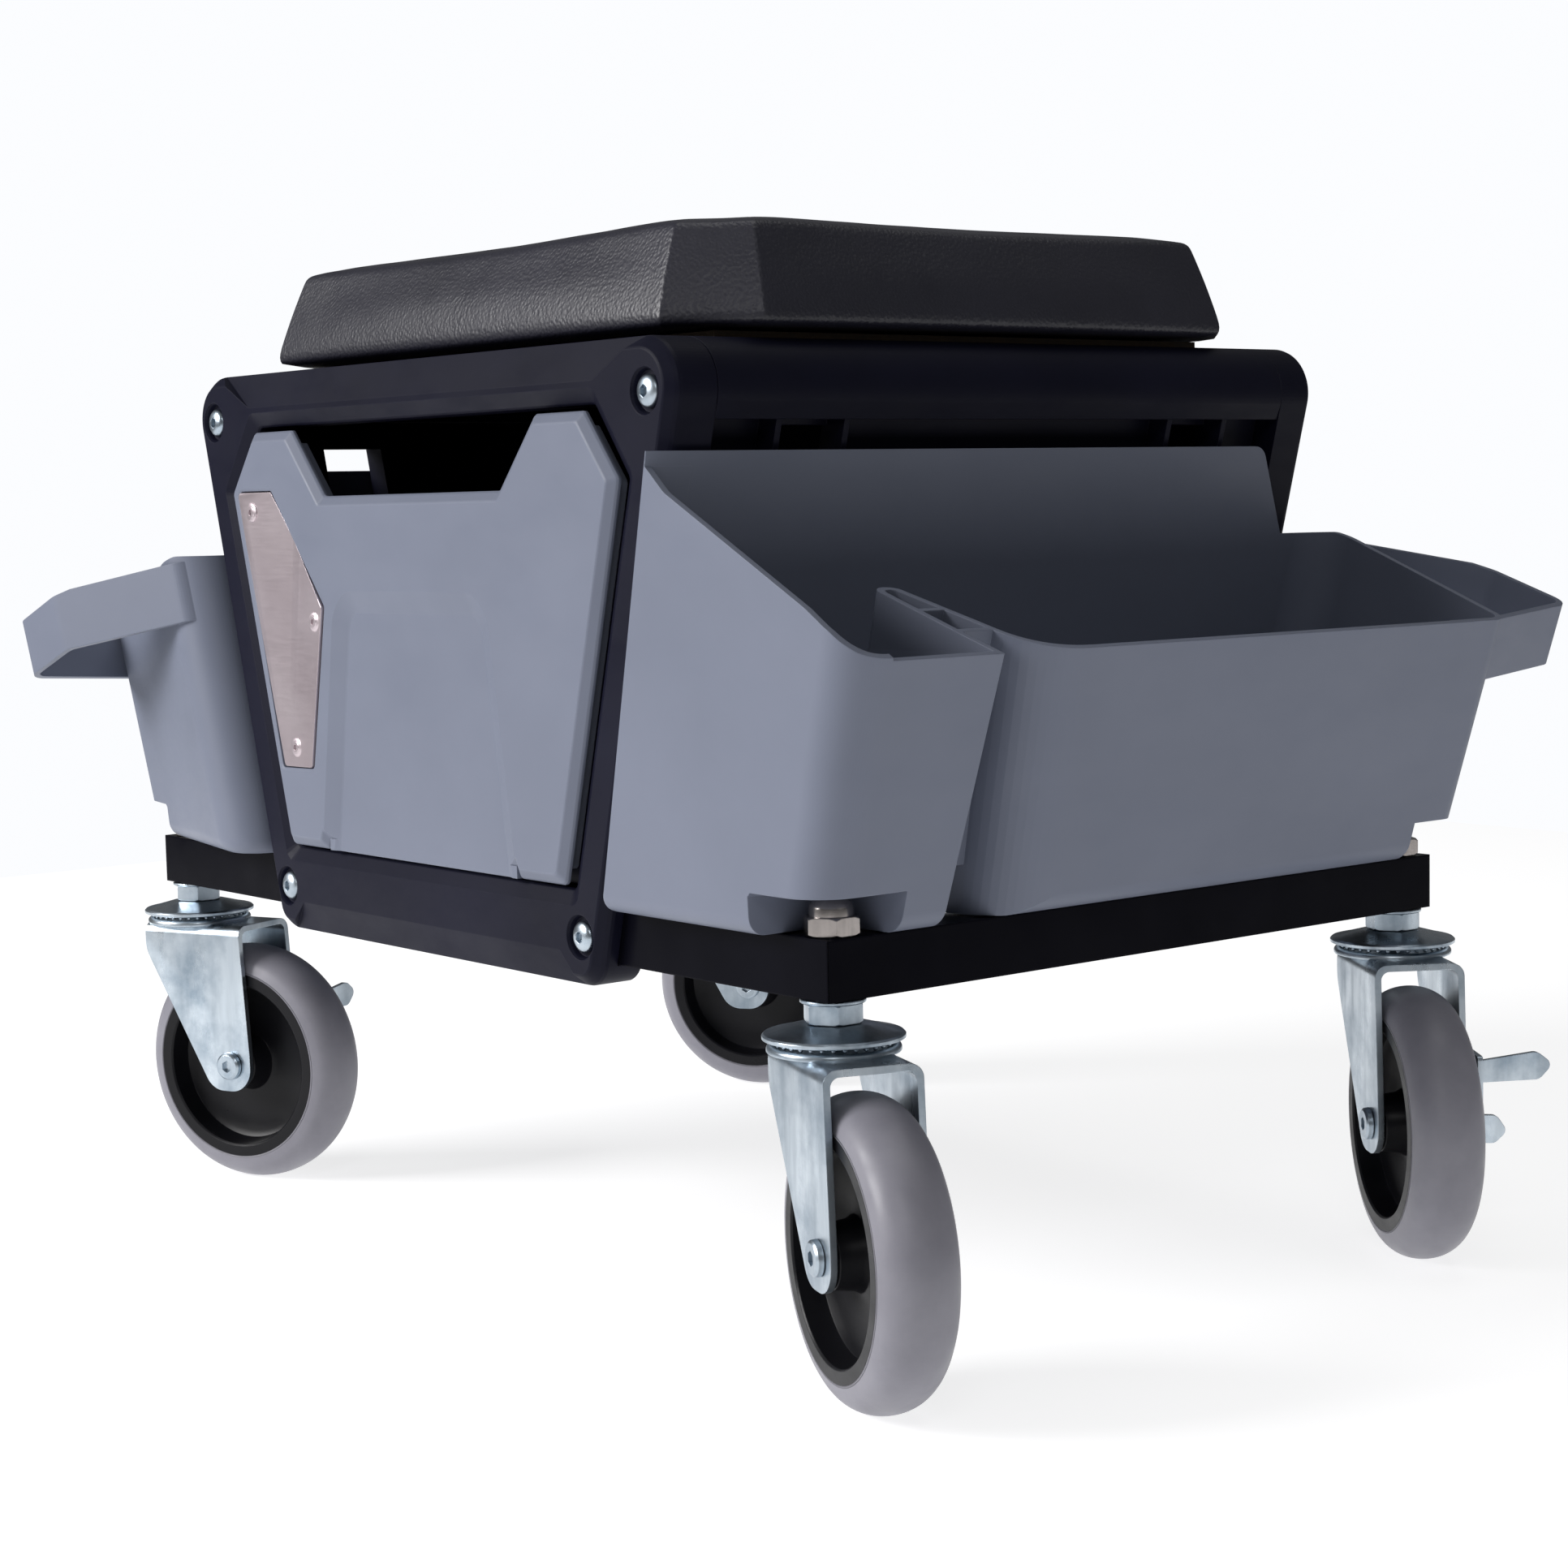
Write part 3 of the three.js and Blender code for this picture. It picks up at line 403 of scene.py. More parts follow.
def make_finishes():
    body = moulded_plastic(
        "body_plastic", (0.0046, 0.0048, 0.0125), (0.0070, 0.0073, 0.0190), 0.46, 0.35)
    body.set(specular_ior_level=0.22, ior=1.34)
    tray = moulded_plastic("tray_plastic", (0.158, 0.176, 0.232), (0.174, 0.193, 0.254), 0.47, 0.30)
    tray.set(specular_ior_level=0.32)

    vinyl = Paint("seat_vinyl")
    vinyl.join_to("Base Color", vinyl.ramp(
        vinyl.noise(14.0, 4.0), [(0.3, (0.0100, 0.0100, 0.0185)), (0.7, (0.0160, 0.0158, 0.0270))]))
    vinyl.join_to("Roughness", vinyl.spread(vinyl.noise(70.0, 4.0), 0.41, 0.47))
    warp = vinyl.stretched((1.0, 1.15, 1.0))
    vinyl.bump([
        (vinyl.cells(620.0, warp), 0.60, 0.45),
        (vinyl.noise(1500.0, 3.0), 0.25, 0.12),
        (vinyl.noise(26.0, 3.0), 0.07, 1.0),
    ], 0)
    vinyl.set(specular_ior_level=0.60)

    chassis = Paint("chassis_paint")
    # Edges get a lighter colour: partly chipped-paint wear, partly a painted highlight along the rolled
    # edges.
    wear_and_edge_highlight = chassis.edges(0.7)
    coat = chassis.ramp(
        chassis.noise(30.0), [(0.3, (0.0022, 0.0022, 0.0045)), (0.7, (0.0036, 0.0036, 0.0065))])
    chassis.join_to("Base Color", chassis.mix(wear_and_edge_highlight, coat, (0.010, 0.010, 0.014)))
    chassis.join_to("Roughness", chassis.spread(chassis.noise(45.0, 4.0), 0.14, 0.26))
    chassis.bump([(chassis.noise(420.0, 1.0), 0.12, 0.06), (chassis.noise(60.0, 2.0), 0.1, 0.25)], 1.2)
    chassis.set(specular_ior_level=0.12, ior=1.2)

    metals = []
    for name, dark, light, rough in (
        ("zinc_plate", (0.30, 0.37, 0.44), (0.60, 0.67, 0.73), (0.22, 0.42)),
        ("nickel_nut", (0.26, 0.235, 0.225), (0.50, 0.46, 0.44), (0.14, 0.28)),
    ):
        metal = Paint(name)
        patches = metal.noise(38.0, 5.0, 0.6)
        streaks = metal.noise(60.0, 4.0, 0.6, metal.stretched((1.0, 1.0, 0.14)))
        tone = metal.ramp(patches, [(0.32, dark), (0.60, light)])
        metal.join_to("Base Color", metal.mix(
            metal.ramp(streaks, [(0.42, (0, 0, 0)), (0.72, (0.55, 0.55, 0.55))]), tone,
            tuple(c * 0.72 for c in dark)))
        metal.join_to("Roughness", metal.spread(streaks, *rough))
        metal.bump([(metal.noise(900.0, 3.0), 0.10, 0.05), (metal.noise(90.0, 3.0), 0.18, 0.2)], 0.5)
        metal.set(metallic=1.0)
        metals.append(metal)

    insert = Paint("insert_metal")
    brushed = insert.noise(900.0, 3.0, 0.6, insert.stretched((0.04, 1.0, 1.0)))
    insert.join_to("Base Color", insert.mix(
        insert.ramp(insert.noise(16.0, 3.0), [(0.35, (0, 0, 0)), (0.7, (1, 1, 1))]),
        (0.54, 0.46, 0.49), (0.66, 0.58, 0.61)))
    insert.join_to("Roughness", insert.spread(brushed, 0.35, 0.39))
    insert.bump([(brushed, 0.06, 0.02)], 0.4)
    insert.set(metallic=0.85, anisotropic=0.4)

    tyre = Paint("tyre_rubber")
    tyre.join_to("Base Color", tyre.ramp(
        tyre.noise(24.0, 5.0, 0.62), [(0.28, (0.190, 0.186, 0.218)), (0.72, (0.252, 0.248, 0.285))]))
    tyre.join_to("Roughness", tyre.spread(tyre.noise(60.0, 5.0), 0.34, 0.56))
    tyre.bump([(tyre.noise(1400.0, 3.0), 0.18, 0.05), (tyre.noise(80.0, 4.0), 0.16, 0.25)], 0.5)

    hub = moulded_plastic("hub_plastic", (0.0045, 0.0045, 0.006), (0.0075, 0.0075, 0.0095), 0.34, 0.25)
    hub.set(specular_ior_level=0.3, ior=1.38)

    board = Paint("seat_board")
    grain = board.noise(120.0, 5.0, 0.6, board.stretched((0.12, 1.0, 3.0)))
    board.join_to("Base Color", board.ramp(
        grain, [(0.3, (0.060, 0.040, 0.022)), (0.7, (0.13, 0.088, 0.05))]))
    board.join_to("Roughness", board.spread(grain, 0.55, 0.8))
    board.bump([(grain, 0.3, 0.15)], 0.5)

    paints = (body, tray, vinyl, chassis, insert, tyre, hub, board, *metals)
    return {paint.name: paint.material for paint in paints}


FINISHES = make_finishes()


def finish(obj, name, slot, body, *nodes, sharp=32.0):
    """Names, scales, paints and mounts a finished piece; sharp=0 keeps its many small facets flat."""
    obj.name = name
    obj.data.name = name
    obj.data.transform(Matrix.Scale(MM, 4))
    obj.data.materials.clear()
    obj.data.materials.append(FINISHES[slot])
    for face in obj.data.polygons:
        face.use_smooth = sharp > 0
        face.material_index = 0
    if sharp > 0:
        obj.data.set_sharp_from_angle(angle=math.radians(sharp))
    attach(obj, body)
    if nodes:
        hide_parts(*nodes)
    return obj


HALF_TURN = Matrix.Rotation(math.pi, 4, "Z")
FACE_FRONT = Matrix.Rotation(math.radians(90), 4, "X")
FACE_BACK = Matrix.Rotation(math.radians(-90), 4, "X")


# ---------- body ----------

def screw_spots():
    return [
        ("upper_left", -UPPER_SCREWS[0], UPPER_SCREWS[1]), ("upper_right", *UPPER_SCREWS),
        ("lower_left", -LOWER_SCREWS[0], LOWER_SCREWS[1]), ("lower_right", *LOWER_SCREWS),
    ]


def end_plate():
    corners = [
        (-side_x(PLATE_LOW), PLATE_LOW), (side_x(PLATE_LOW), PLATE_LOW),
        (side_x(BODY_TOP), BODY_TOP), (-side_x(BODY_TOP), BODY_TOP),
    ]
    radii = [14, 14, 22, 22]

    def level(y, inset):
        return y, rounded(grown(corners, -inset), [r - inset for r in radii], 24)

    face = PLATE_FACE
    plate = along_y([
        level(face, 5.6), level(face + 0.5, 4.6), level(face + 3.6, 1.5), level(face + 5.0, 0.4),
        level(face + 6.6, 0), level(PLATE_BACK, 0),
    ])
    foot, shoulder, ear = (119.5, 194), (166.5, 369.5), (143, 398.5)
    opening = mirrored([
        (foot[0] + 1.6, foot[1] - 1.6), (shoulder[0] + 2.2, shoulder[1]), (ear[0] + 2, ear[1] + 2.6),
    ])

    def hole(y, grow):
        return y, rounded(grown(opening, grow), 3 + grow * 0.5, 4)

    mouth = along_y([
        hole(face - 4, 7.2), hole(face - 0.01, 7.2), hole(face + 0.7, 6.0), hole(face + 3.6, 0.9),
        hole(face + 4.6, 0), hole(PLATE_BACK + 3, 0),
    ])
    gap = 0.4
    slot = block(
        (-CHASSIS_X, -CHASSIS_Y - gap, CHASSIS_LOW - gap), (CHASSIS_X, PLATE_BACK + 3, CHASSIS_TOP + gap))

    def sloped(side, outline, reach):
        """A slope cut across the face, as wide as the outline lets it be."""
        return keep(along_x(side, -reach, reach), along_y([(face - 12, outline), (PLATE_BACK, outline)]))

    upper = sloped(
        [(face, 411), (face - 9, 411), (face - 9, BODY_TOP + 1), (face + 7.2, BODY_TOP + 1)],
        [(-149, 411), (149, 411), (184.6, 429), (-184.6, 429)], 190)
    lower = sloped(
        [(face, 165), (face + 5.2, 149), (face - 9, 149), (face - 9, 165)],
        [(-128.6, 149), (128.6, 149), (112, 165), (-112, 165)], 130)
    wells = []
    for _, x, z in screw_spots():
        wells.append(along_y([
            (face - 2, circle(10.4, 40, x, z)), (face + 0.3, circle(10.0, 40, x, z)),
            (face + 1.1, circle(9.4, 40, x, z)), (face + 3.5, circle(8.8, 40, x, z)),
        ]))
        wells.append(rod_y(SCREW_HOLE_R, face + 2, PLATE_BACK + 3, x, z, 20))
    return cut(plate, mouth, slot, upper, lower, *wells)


def plate_screw(x, z):
    """A button head with a rounded crown and a hexagon socket."""
    seat = PLATE_FACE + 3.3
    crown = [(0, 0), (4, 0), (4, 22), (6.6, 22), (7, 22.4), (7, 23.0)]
    for step in range(1, 8):
        angle = math.radians(90 * step / 7)
        crown.append((1.2 + 5.8 * math.cos(angle), 23.0 + 3.0 * math.sin(angle)))
    crown.append((0, 26.0))
    screw = turned(crown, 36)
    socket = along_z([(23.6, circle(2.6, 6)), (25.4, circle(2.6, 6)), (26.6, circle(3.2, 6))])
    screw = cut(screw, socket)
    return moved(screw, Matrix.Translation((x, seat + 22, z)) @ FACE_FRONT)


def side_panel():
    centre_x, centre_z, outer, wall, end = 182.0, 406.0, 22.0, 3.0, 172.6
    start, finish_at = math.pi / 2, -math.atan(SIDE_LEAN)
    steps = 40
    arc = [start + (finish_at - start) * i / steps for i in range(steps + 1)]
    outside = [(centre_x + outer * math.cos(a), centre_z + outer * math.sin(a)) for a in arc]
    inner = outer - wall
    inside = [
        (centre_x + inner * math.cos(a), centre_z + inner * math.sin(a)) for a in reversed(arc)
    ]
    lip = 393.0
    profile = (
        [(166, BODY_TOP - wall), (166, BODY_TOP)] + outside
        + [(side_x(lip) - 0.6, lip), (side_x(lip) - wall - 0.6, lip)] + inside
    )
    rail = along_y([(-end, profile), (end, profile)])

    def wall_x(z):
        return side_x(z) - 14

    foot, top = 185.6, BODY_TOP - wall - 2
    slab_shape = [
        (wall_x(foot) - wall, foot), (wall_x(foot), foot), (wall_x(top), top), (wall_x(top) - wall, top),
    ]
    slab = along_y([(-end, slab_shape), (end, slab_shape)])
    low = 215.0
    rib_shape = [
        (wall_x(low) - 1, low), (wall_x(low) + 1, low), (wall_x(low + 40) + 12, low + 40),
        (wall_x(lip + 5) + 12, lip + 5), (wall_x(lip + 5) - 1, lip + 5),
    ]
    ribs = [along_y([(y - 1.5, rib_shape), (y + 1.5, rib_shape)]) for y in (-137, -99.5, 99.5, 137)]
    bosses = []
    for side in (-1, 1):
        ends = sorted((side * end, side * (end - 22)))
        bosses.append(rod_y(7.5, ends[0], ends[1], *UPPER_SCREWS))
    windows = [block((140, y - 17.25, 345), (220, y + 17.25, 391)) for y in (-118.25, 118.25)]
    bore = rod_y(SCREW_HOLE_R, -end - 1, end + 1, *UPPER_SCREWS, 20)
    return cut(join(rail, slab, *ribs, *bosses), *windows, bore)


def drawer_front():
    shape = mirrored(DRAWER_HALF)
    face = DRAWER_FACE
    radii = [1.2, 2, 3, 3, 3, 3, 3, 3, 3, 3, 3, 3, 2, 1.2]

    def level(y, inset):
        return y, rounded(grown(shape, -inset), [r * (1.0 if inset else 1.1) for r in radii], 14)

    panel = along_y([
        level(face, 4.9), level(face + 0.35, 4.1), level(face + 2.9, 0.7), level(face + 3.8, 0),
        level(face + 5.2, 0), level(face + 5.3, 6), level(face + 13, 6),
    ])
    lip = block((-82, face + 2.5, 193.8), (82, face + 11, 199.4))
    dish = mirrored([(77, 175), (57, 310)])

    def dip(y, grow):
        return y, rounded(grown(dish, grow), [2, 10 + grow, 10 + grow, 2], 16)

    scoop = along_y([
        dip(face - 4, 11), dip(face - 0.01, 11), dip(face + 0.2, 10.4), dip(face + 3.5, 1.2),
        dip(face + 3.8, 0),
    ])

    def bed(y, grow):
        return y, rounded(grown(INSERT, grow), 2 + grow, 4)

    pocket = along_y([
        bed(face - 4, 2.2), bed(face - 0.01, 2.2), bed(face + 0.5, 0.7), bed(face + 3.8, 0.5),
    ])
    return cut(join(panel, lip), scoop, pocket)


def drawer_insert():
    """The metal inlay, folded along a line, with its fixings."""
    face = DRAWER_FACE - 1.0

    def level(y, inset):
        return y, rounded(grown(INSERT, -inset), 2, 4)

    plate = along_y([level(face, 0.45), level(face + 0.4, 0), level(face + 4.4, 0)])
    crease = Matrix.Translation((FOLD_X, face + FOLD_DEPTH, FOLD_Z)) @ Matrix.Rotation(FOLD_LEAN, 4, "Y")
    right = moved(block((0, -20, -200), (120, 0, 200)), crease @ Matrix.Rotation(-FOLD_RIGHT, 4, "Z"))
    left = moved(block((-120, -20, -200), (0, 0, 200)), crease @ Matrix.Rotation(FOLD_LEFT, 4, "Z"))
    plate = cut(plate, right, left)
    crown = [(0, -1), (4.8, -1), (4.8, 0.3), (4.4, 0.6), (3.2, 0.75), (2.9, 1.15), (2.2, 1.2), (0, 1.2)]
    heads = []
    for x, z in INSERT_SCREWS:
        across = (x - FOLD_X) * math.cos(FOLD_LEAN) - (z - FOLD_Z) * math.sin(FOLD_LEAN)
        sunk = max(0.0, FOLD_DEPTH - abs(across) * math.tan(FOLD_RIGHT if across > 0 else FOLD_LEFT))
        head = cut(turned(crown, 36), along_z([(0.2, circle(1.5, 6)), (1.6, circle(1.7, 6))]))
        heads.append(moved(head, Matrix.Translation((x, face + sunk, z)) @ FACE_FRONT))
    return join(plate, *heads)


def build_body():
    plates = {"front": end_plate()}
    plates["back"] = moved(copy_of(plates["front"]), HALF_TURN)
    fronts = {"front": drawer_front()}
    fronts["back"] = moved(copy_of(fronts["front"]), HALF_TURN)
    inserts = {"front": drawer_insert()}
    inserts["back"] = moved(copy_of(inserts["front"]), HALF_TURN)
    for end in ("front", "back"):
        drawer = f"drawer_{end}"
        finish(plates[end], f"frame_plate_{end}", "body_plastic", "frame", f"end_plate_{end}", sharp=0)
        finish(fronts[end], f"drawer_face_{end}", "tray_plastic", drawer, f"drawer_front_{end}", sharp=0)
        finish(inserts[end], f"drawer_inlay_{end}", "insert_metal", drawer, f"drawer_insert_{end}")
        for spot, x, z in screw_spots():
            screw = plate_screw(x, z)
            if end == "back":
                moved(screw, HALF_TURN)
            node = f"plate_screw_{end}_{spot}"
            finish(screw, f"button_screw_{end}_{spot}", "zinc_plate", "frame", node)
    right = side_panel()
    left = moved(copy_of(right), HALF_TURN)
    for side, panel in (("right", right), ("left", left)):
        finish(panel, f"side_wall_{side}", "body_plastic", "frame", f"side_panel_{side}", sharp=0)


# ---------- trays ----------

def leaned(obj):
    """Leans a tray shape, drawn at its rim's height, with the body and the outer wall."""
    for vertex in obj.data.vertices:
        rise = vertex.co.z - TRAY_RIM
        across = (vertex.co.x - TRAY_BACK) / (TRAY_OUT - TRAY_BACK)
        vertex.co.x += rise * (SIDE_LEAN + (TRAY_OUT_LEAN - SIDE_LEAN) * across)
        vertex.co.y *= 1 + TRAY_DRAFT * rise
    return obj


def tray_plan(inset):
    corners = [
        (TRAY_BACK, TRAY_FRONT), (TRAY_OUT, TRAY_FRONT),
        (TRAY_OUT, TRAY_REAR), (TRAY_BACK, TRAY_REAR_BACK),
    ]
    radii = [4, 20, 12, 22]
    return rounded(grown(corners, -inset), [max(r - inset, 0.4) for r in radii], 26)


def tray_solid(inset, low, foot):
    """The tray's outer or inner volume with a rounded foot."""
    levels = []
    for step in range(13):
        angle = math.radians(90 * step / 12)
        drawn_in = foot * (1 - math.cos(angle))
        levels.append((low + foot * (1 - math.sin(angle)), tray_plan(inset + drawn_in)))
    levels.reverse()
    for height in (225, 260, 297, 335):
        levels.append((height, tray_plan(inset)))
    levels.append((TRAY_HIGH + (20 if inset else 0), tray_plan(inset)))
    return leaned(along_z(levels))


def slot_plan(grow):
    """The gap between the small pocket and the bin, grown by a wall where it cuts the inside."""
    end, pocket, bin_side, beyond = SLOT_NOSE_X - grow, SLOT_POCKET - grow, SLOT_BIN + grow, 350
    bend, mouth = SLOT_BEND + grow, SLOT_MOUTH + grow
    points = [(beyond, pocket)]
    nose = Vector((end + 3.5 + grow * 0.4, (pocket + bin_side) / 2))
    half = (bin_side - pocket) / 2
    for step in range(13):
        angle = math.radians(-90 - 180 * step / 12)
        points.append((nose.x + (nose.x - end) * math.cos(angle), nose.y + half * math.sin(angle)))
    outer = TRAY_OUT - grow
    start, corner, finish_at = Vector((296, bend - 3.5)), Vector((outer, bend)), Vector((outer, mouth))
    for step in range(13):
        t = step / 12
        points.append(tuple(start * (1 - t) ** 2 + corner * 2 * t * (1 - t) + finish_at * t * t))
    points.append((beyond, mouth))
    return points


def spread(plan, z):
    """Parts the two sides of the slot below the rim."""
    drop = max(0.0, TRAY_RIM - z)
    towards_pocket, towards_bin = -SLOT_SPREAD[0] * drop, SLOT_SPREAD[1] * drop
    return [(x, y + (towards_pocket if y < SLOT_MIDDLE else towards_bin)) for x, y in plan]


def slot_prism(plan, low):
    heights = (low, (low + TRAY_RIM) / 2, TRAY_RIM, TRAY_HIGH + 30)
    return leaned(along_z([(z, spread(plan, z)) for z in heights]))


def notches(grow):
    """The recesses that clear the cap nuts; the rear one stops at the end wall and cuts it further out."""
    top = 203.5 + grow
    near = 156.5 - grow
    back = 254 - grow
    far = 265.5 - grow
    result = []
    for plan, radii in (
        ([(back, -260), (400, -260), (400, -near), (back, -near)], [0, 0, 0, 3]),
        ([(back, near), (400, near), (400, 188.6), (back, 188.6)], [3, 0, 0, 0]),
        ([(far, 187.6), (400, 187.6), (400, 260), (far, 260)], [0, 0, 0, 0]),
    ):
        shape = rounded(plan, radii, 6)
        tight = rounded([(p[0] + (1.6 if p[0] < 300 else 0), p[1]) for p in plan], radii, 6)
        result.append(along_z([(0, shape), (top - 1.6, shape), (top, tight)]))
    return result


def rim_volumes():
    """What each stretch of the rim leaves standing."""
    foot = [(400, 100), (60, 100)]
    front = [
        (60, TRAY_TOP), (193, TRAY_TOP), (203, 373), (214, 363), (300, 317.5), (313, 309), (322, 300.5),
        (328, TRAY_RIM), (400, TRAY_RIM),
    ] + foot
    middle = [(60, TRAY_REAR_TOP), (205, TRAY_REAR_TOP), (326, TRAY_RIM), (400, TRAY_RIM)] + foot
    rear = [
        (60, TRAY_REAR_TOP), (203, TRAY_REAR_TOP), (321, 298.5), (327, TRAY_RIM), (400, TRAY_RIM),
    ] + foot
    front_shape = rounded(front, [0, 14, 10, 14, 30, 14, 14, 8, 0, 0, 0], 6)
    rear_shape = rounded(rear, [0, 12, 6, 6, 0, 0, 0], 6)

    def back_x(z):
        return TRAY_BACK + (z - TRAY_RIM) * SIDE_LEAN + TRAY_WALL + 0.02

    lean = [(60, 100), (back_x(100), 100), (back_x(400), 400), (60, 400)]
    sheet_side = rounded([
        (TRAY_FRONT - 20, 100), (TRAY_REAR_BACK + 12, 100), (184, TRAY_REAR_TOP), (160, TRAY_TOP),
        (TRAY_FRONT - 20, TRAY_TOP),
    ], [0, 0, 5, 10, 0], 6)
    sheet = keep(
        along_y([(TRAY_FRONT - 20, lean), (TRAY_REAR_BACK + 20, lean)]),
        loft([[(x, y, z) for y, z in sheet_side] for x in (60, 300)]),
    )
    return join(
        along_y([(TRAY_FRONT - 20, front_shape), (TRAY_FRONT + 21, front_shape)]),
        along_y([(TRAY_FRONT + 20, middle), (166, middle)]),
        along_y([(165, rear_shape), (TRAY_REAR_BACK + 20, rear_shape)]),
        sheet,
    )


def tray_loop(cavity):
    """The open loop at the rear that holds a hanging tool."""
    def ring(inset):
        points = [
            (TRAY_OUT - inset, 150), (TRAY_OUT - inset, 178), (312 - inset, 252 - inset),
            (266 + inset * 0.4, 249 - inset), (186 + inset * 0.6, 212 - inset), (186 + inset * 0.6, 150),
        ]
        return rounded(points, [0, 4, 11 - inset, 17 - inset, 12, 0], 10)

    outer = leaned(along_z([(z, ring(0)) for z in (200, 300, 400)]))
    inner = leaned(along_z([(z, ring(TRAY_WALL)) for z in (190, 300, 410)]))

    top, height = [(150, 344.8), (262, 321.3), (326, 297), (360, 284.1)], 31.5
    outline = [(x, z - height) for x, z in top] + top[::-1]
    band = along_y([(150, outline), (300, outline)])
    return combine(outer, ("DIFFERENCE", inner), ("INTERSECT", band), ("DIFFERENCE", cavity))


def tray():
    cavity = cut(
        tray_solid(TRAY_WALL, TRAY_LOW + TRAY_FLOOR, TRAY_FOOT - TRAY_WALL),
        slot_prism(slot_plan(TRAY_WALL), 100), *notches(TRAY_WALL))
    shell = cut(
        tray_solid(0, TRAY_LOW, TRAY_FOOT), slot_prism(slot_plan(0), 110), *notches(0), copy_of(cavity))
    ribs = []
    for x in (272, 297.5):
        along = (x - SLOT_NOSE_X) / (296 - SLOT_NOSE_X)
        wall_y = SLOT_BIN + along * (-112 - SLOT_BIN) if x < 296 else -111.4
        plan = [(x - 1.4, -129), (x + 1.4, -129), (x + 1.4, wall_y + 1), (x - 1.4, wall_y + 1)]
        ribs.append(slot_prism(plan, 207))
    shell = join(shell, *ribs)
    return join(keep(shell, rim_volumes()), tray_loop(cavity))


def build_trays():
    right = tray()
    left = moved(copy_of(right), HALF_TURN)
    for side, piece in (("right", right), ("left", left)):
        finish(piece, f"side_tray_{side}", "tray_plastic", f"lift_off_tray_{side}", f"tray_{side}", sharp=0)


# ---------- casters ----------

def wheel_turned(profile, count):
    """Turned about Z, then laid on the axle."""
    return moved(turned(profile, count, closed=True), Matrix.Translation((TRAIL, 0, WHEEL_R)) @ FACE_FRONT)


def tyre():
    half_width, depth, fullness, bead = 17.0, 13.8, 2.1, (50.9, 16.8)
    crown, steps = [], 28
    for i in range(steps + 1):
        offset = -1 + 2 * i / steps
        drop = depth * (1 - math.sqrt(max(0.0, 1 - abs(offset) ** fullness)))
        crown.append((WHEEL_R - drop, offset * half_width))
    return wheel_turned([(bead[0], -bead[1])] + crown + [bead], 128)


def hub():
    half = [
        (50.5, 16.4), (50.0, 17.0), (44.6, 17.0), (43.7, 16.3), (43.0, 10.0), (41.6, 6.2), (38.5, 4.8),
        (19.0, 4.2), (15.6, 5.2), (14.2, 8.0), (13.2, 17.0), (12.4, 17.6), (5.4, 17.6),
    ]
    lower = [(radius, -z) for radius, z in reversed(half)]
    return wheel_turned(lower + half, 96)


def fork(brake):
    """The stamped fork: a strip bent down into two eyed legs, with a raised race on its crown."""
    half, inner = FORK_HALF, FORK_HALF - FORK_SHEET
    side = rounded(
        [(-20.5, 139), (-20.5, 124), (22, 49.5), (48, 49.5), (47.6, 70), (43, 139)],
        [0, 18, 12.5, 13, 14, 0], 12)
    strip = rounded([
        (-half, 40), (-inner, 40), (-inner, 136), (inner, 136), (inner, 40), (half, 40),
        (half, 139), (-half, 139),
    ], [0, 0, 4, 4, 0, 0, 6, 6], 8)
    bent = keep(along_x(strip, -24, 52), along_y([(-30, side), (30, side)]))
    race = turned([
        (0, 136.2), (17.6, 136.2), (27.2, 138.2), (27.5, 138.6), (27.5, 139.8), (27.1, 140.6),
        (26.0, 141.3), (0, 141.4),
    ], 72)
    holes = [rod_z(6.4, 130, 145), rod_y(5.4, -30, 30, TRAIL, WHEEL_R)]
    if brake:
        holes.append(rod_y(3.4, 0, 30, *BRAKE_PIVOT, 20))
    return cut(join(bent, race), *holes)


def axle_bolt():
    seat, reach = 21.6, 24.7
    half = [(5, seat), (7.5, seat), (7.3, reach - 0.9), (6.2, reach), (0, reach)]
    bolt = turned([(radius, -z) for radius, z in reversed(half)] + half, 40)
    bolt = cut(
        bolt, along_z([(reach - 1.9, circle(3.2, 6)), (reach + 1, circle(3.3, 6))]),
        along_z([(-reach - 1, circle(3.3, 6)), (-reach + 1.9, circle(3.2, 6))]))
    return moved(bolt, Matrix.Translation((TRAIL, 0, WHEEL_R)) @ FACE_FRONT)


def hexagon(across, low, high, chamfer=1.0):
    """A hexagonal nut body with turned, chamfered corners."""
    corner, rise = across / math.sqrt(3), chamfer * 0.8
    body = along_z([(low, circle(corner, 6)), (high, circle(corner, 6))])
    cone = [
        (0, low), (corner - chamfer, low), (corner + 0.1, low + rise), (corner + 0.1, high - rise),
        (corner - chamfer, high), (0, high),
    ]
    return keep(body, turned(cone, 48))


def stem_bolt():
    profile = [
        (0, 132), (9.2, 132), (9.5, 132.5), (9.5, 135), (6, 135), (6, 158), (13, 158), (13.5, 158.4),
        (13.5, 159.3), (13.2, 159.6), (6, 159.6), (6, 196), (0, 196),
    ]
    return join(turned(profile, 48), hexagon(22.0, 150, 158.2))


def swivel_cup():
    profile = [
        (6.4, 145.4), (21.6, 145.4), (24.6, 143.6), (28.7, 143.4), (29.2, 143.7), (29.2, 145.0),
        (28.4, 145.8), (24.6, 146.6), (15.0, 149.2), (12.5, 149.6), (6.4, 149.6),
    ]
    return turned(profile, 72, closed=True)


def ball_ring():
    """The bearing balls seen in the gap under the cup."""
    bm = bmesh.new()
    count, radius, height = 34, 24.6, 142.35
    for i in range(count):
        angle = 2 * math.pi * i / count
        place = Matrix.Translation((radius * math.cos(angle), radius * math.sin(angle), height))
        bmesh.ops.create_uvsphere(bm, u_segments=14, v_segments=8, radius=1.0, matrix=place)
    return make("balls", bm)


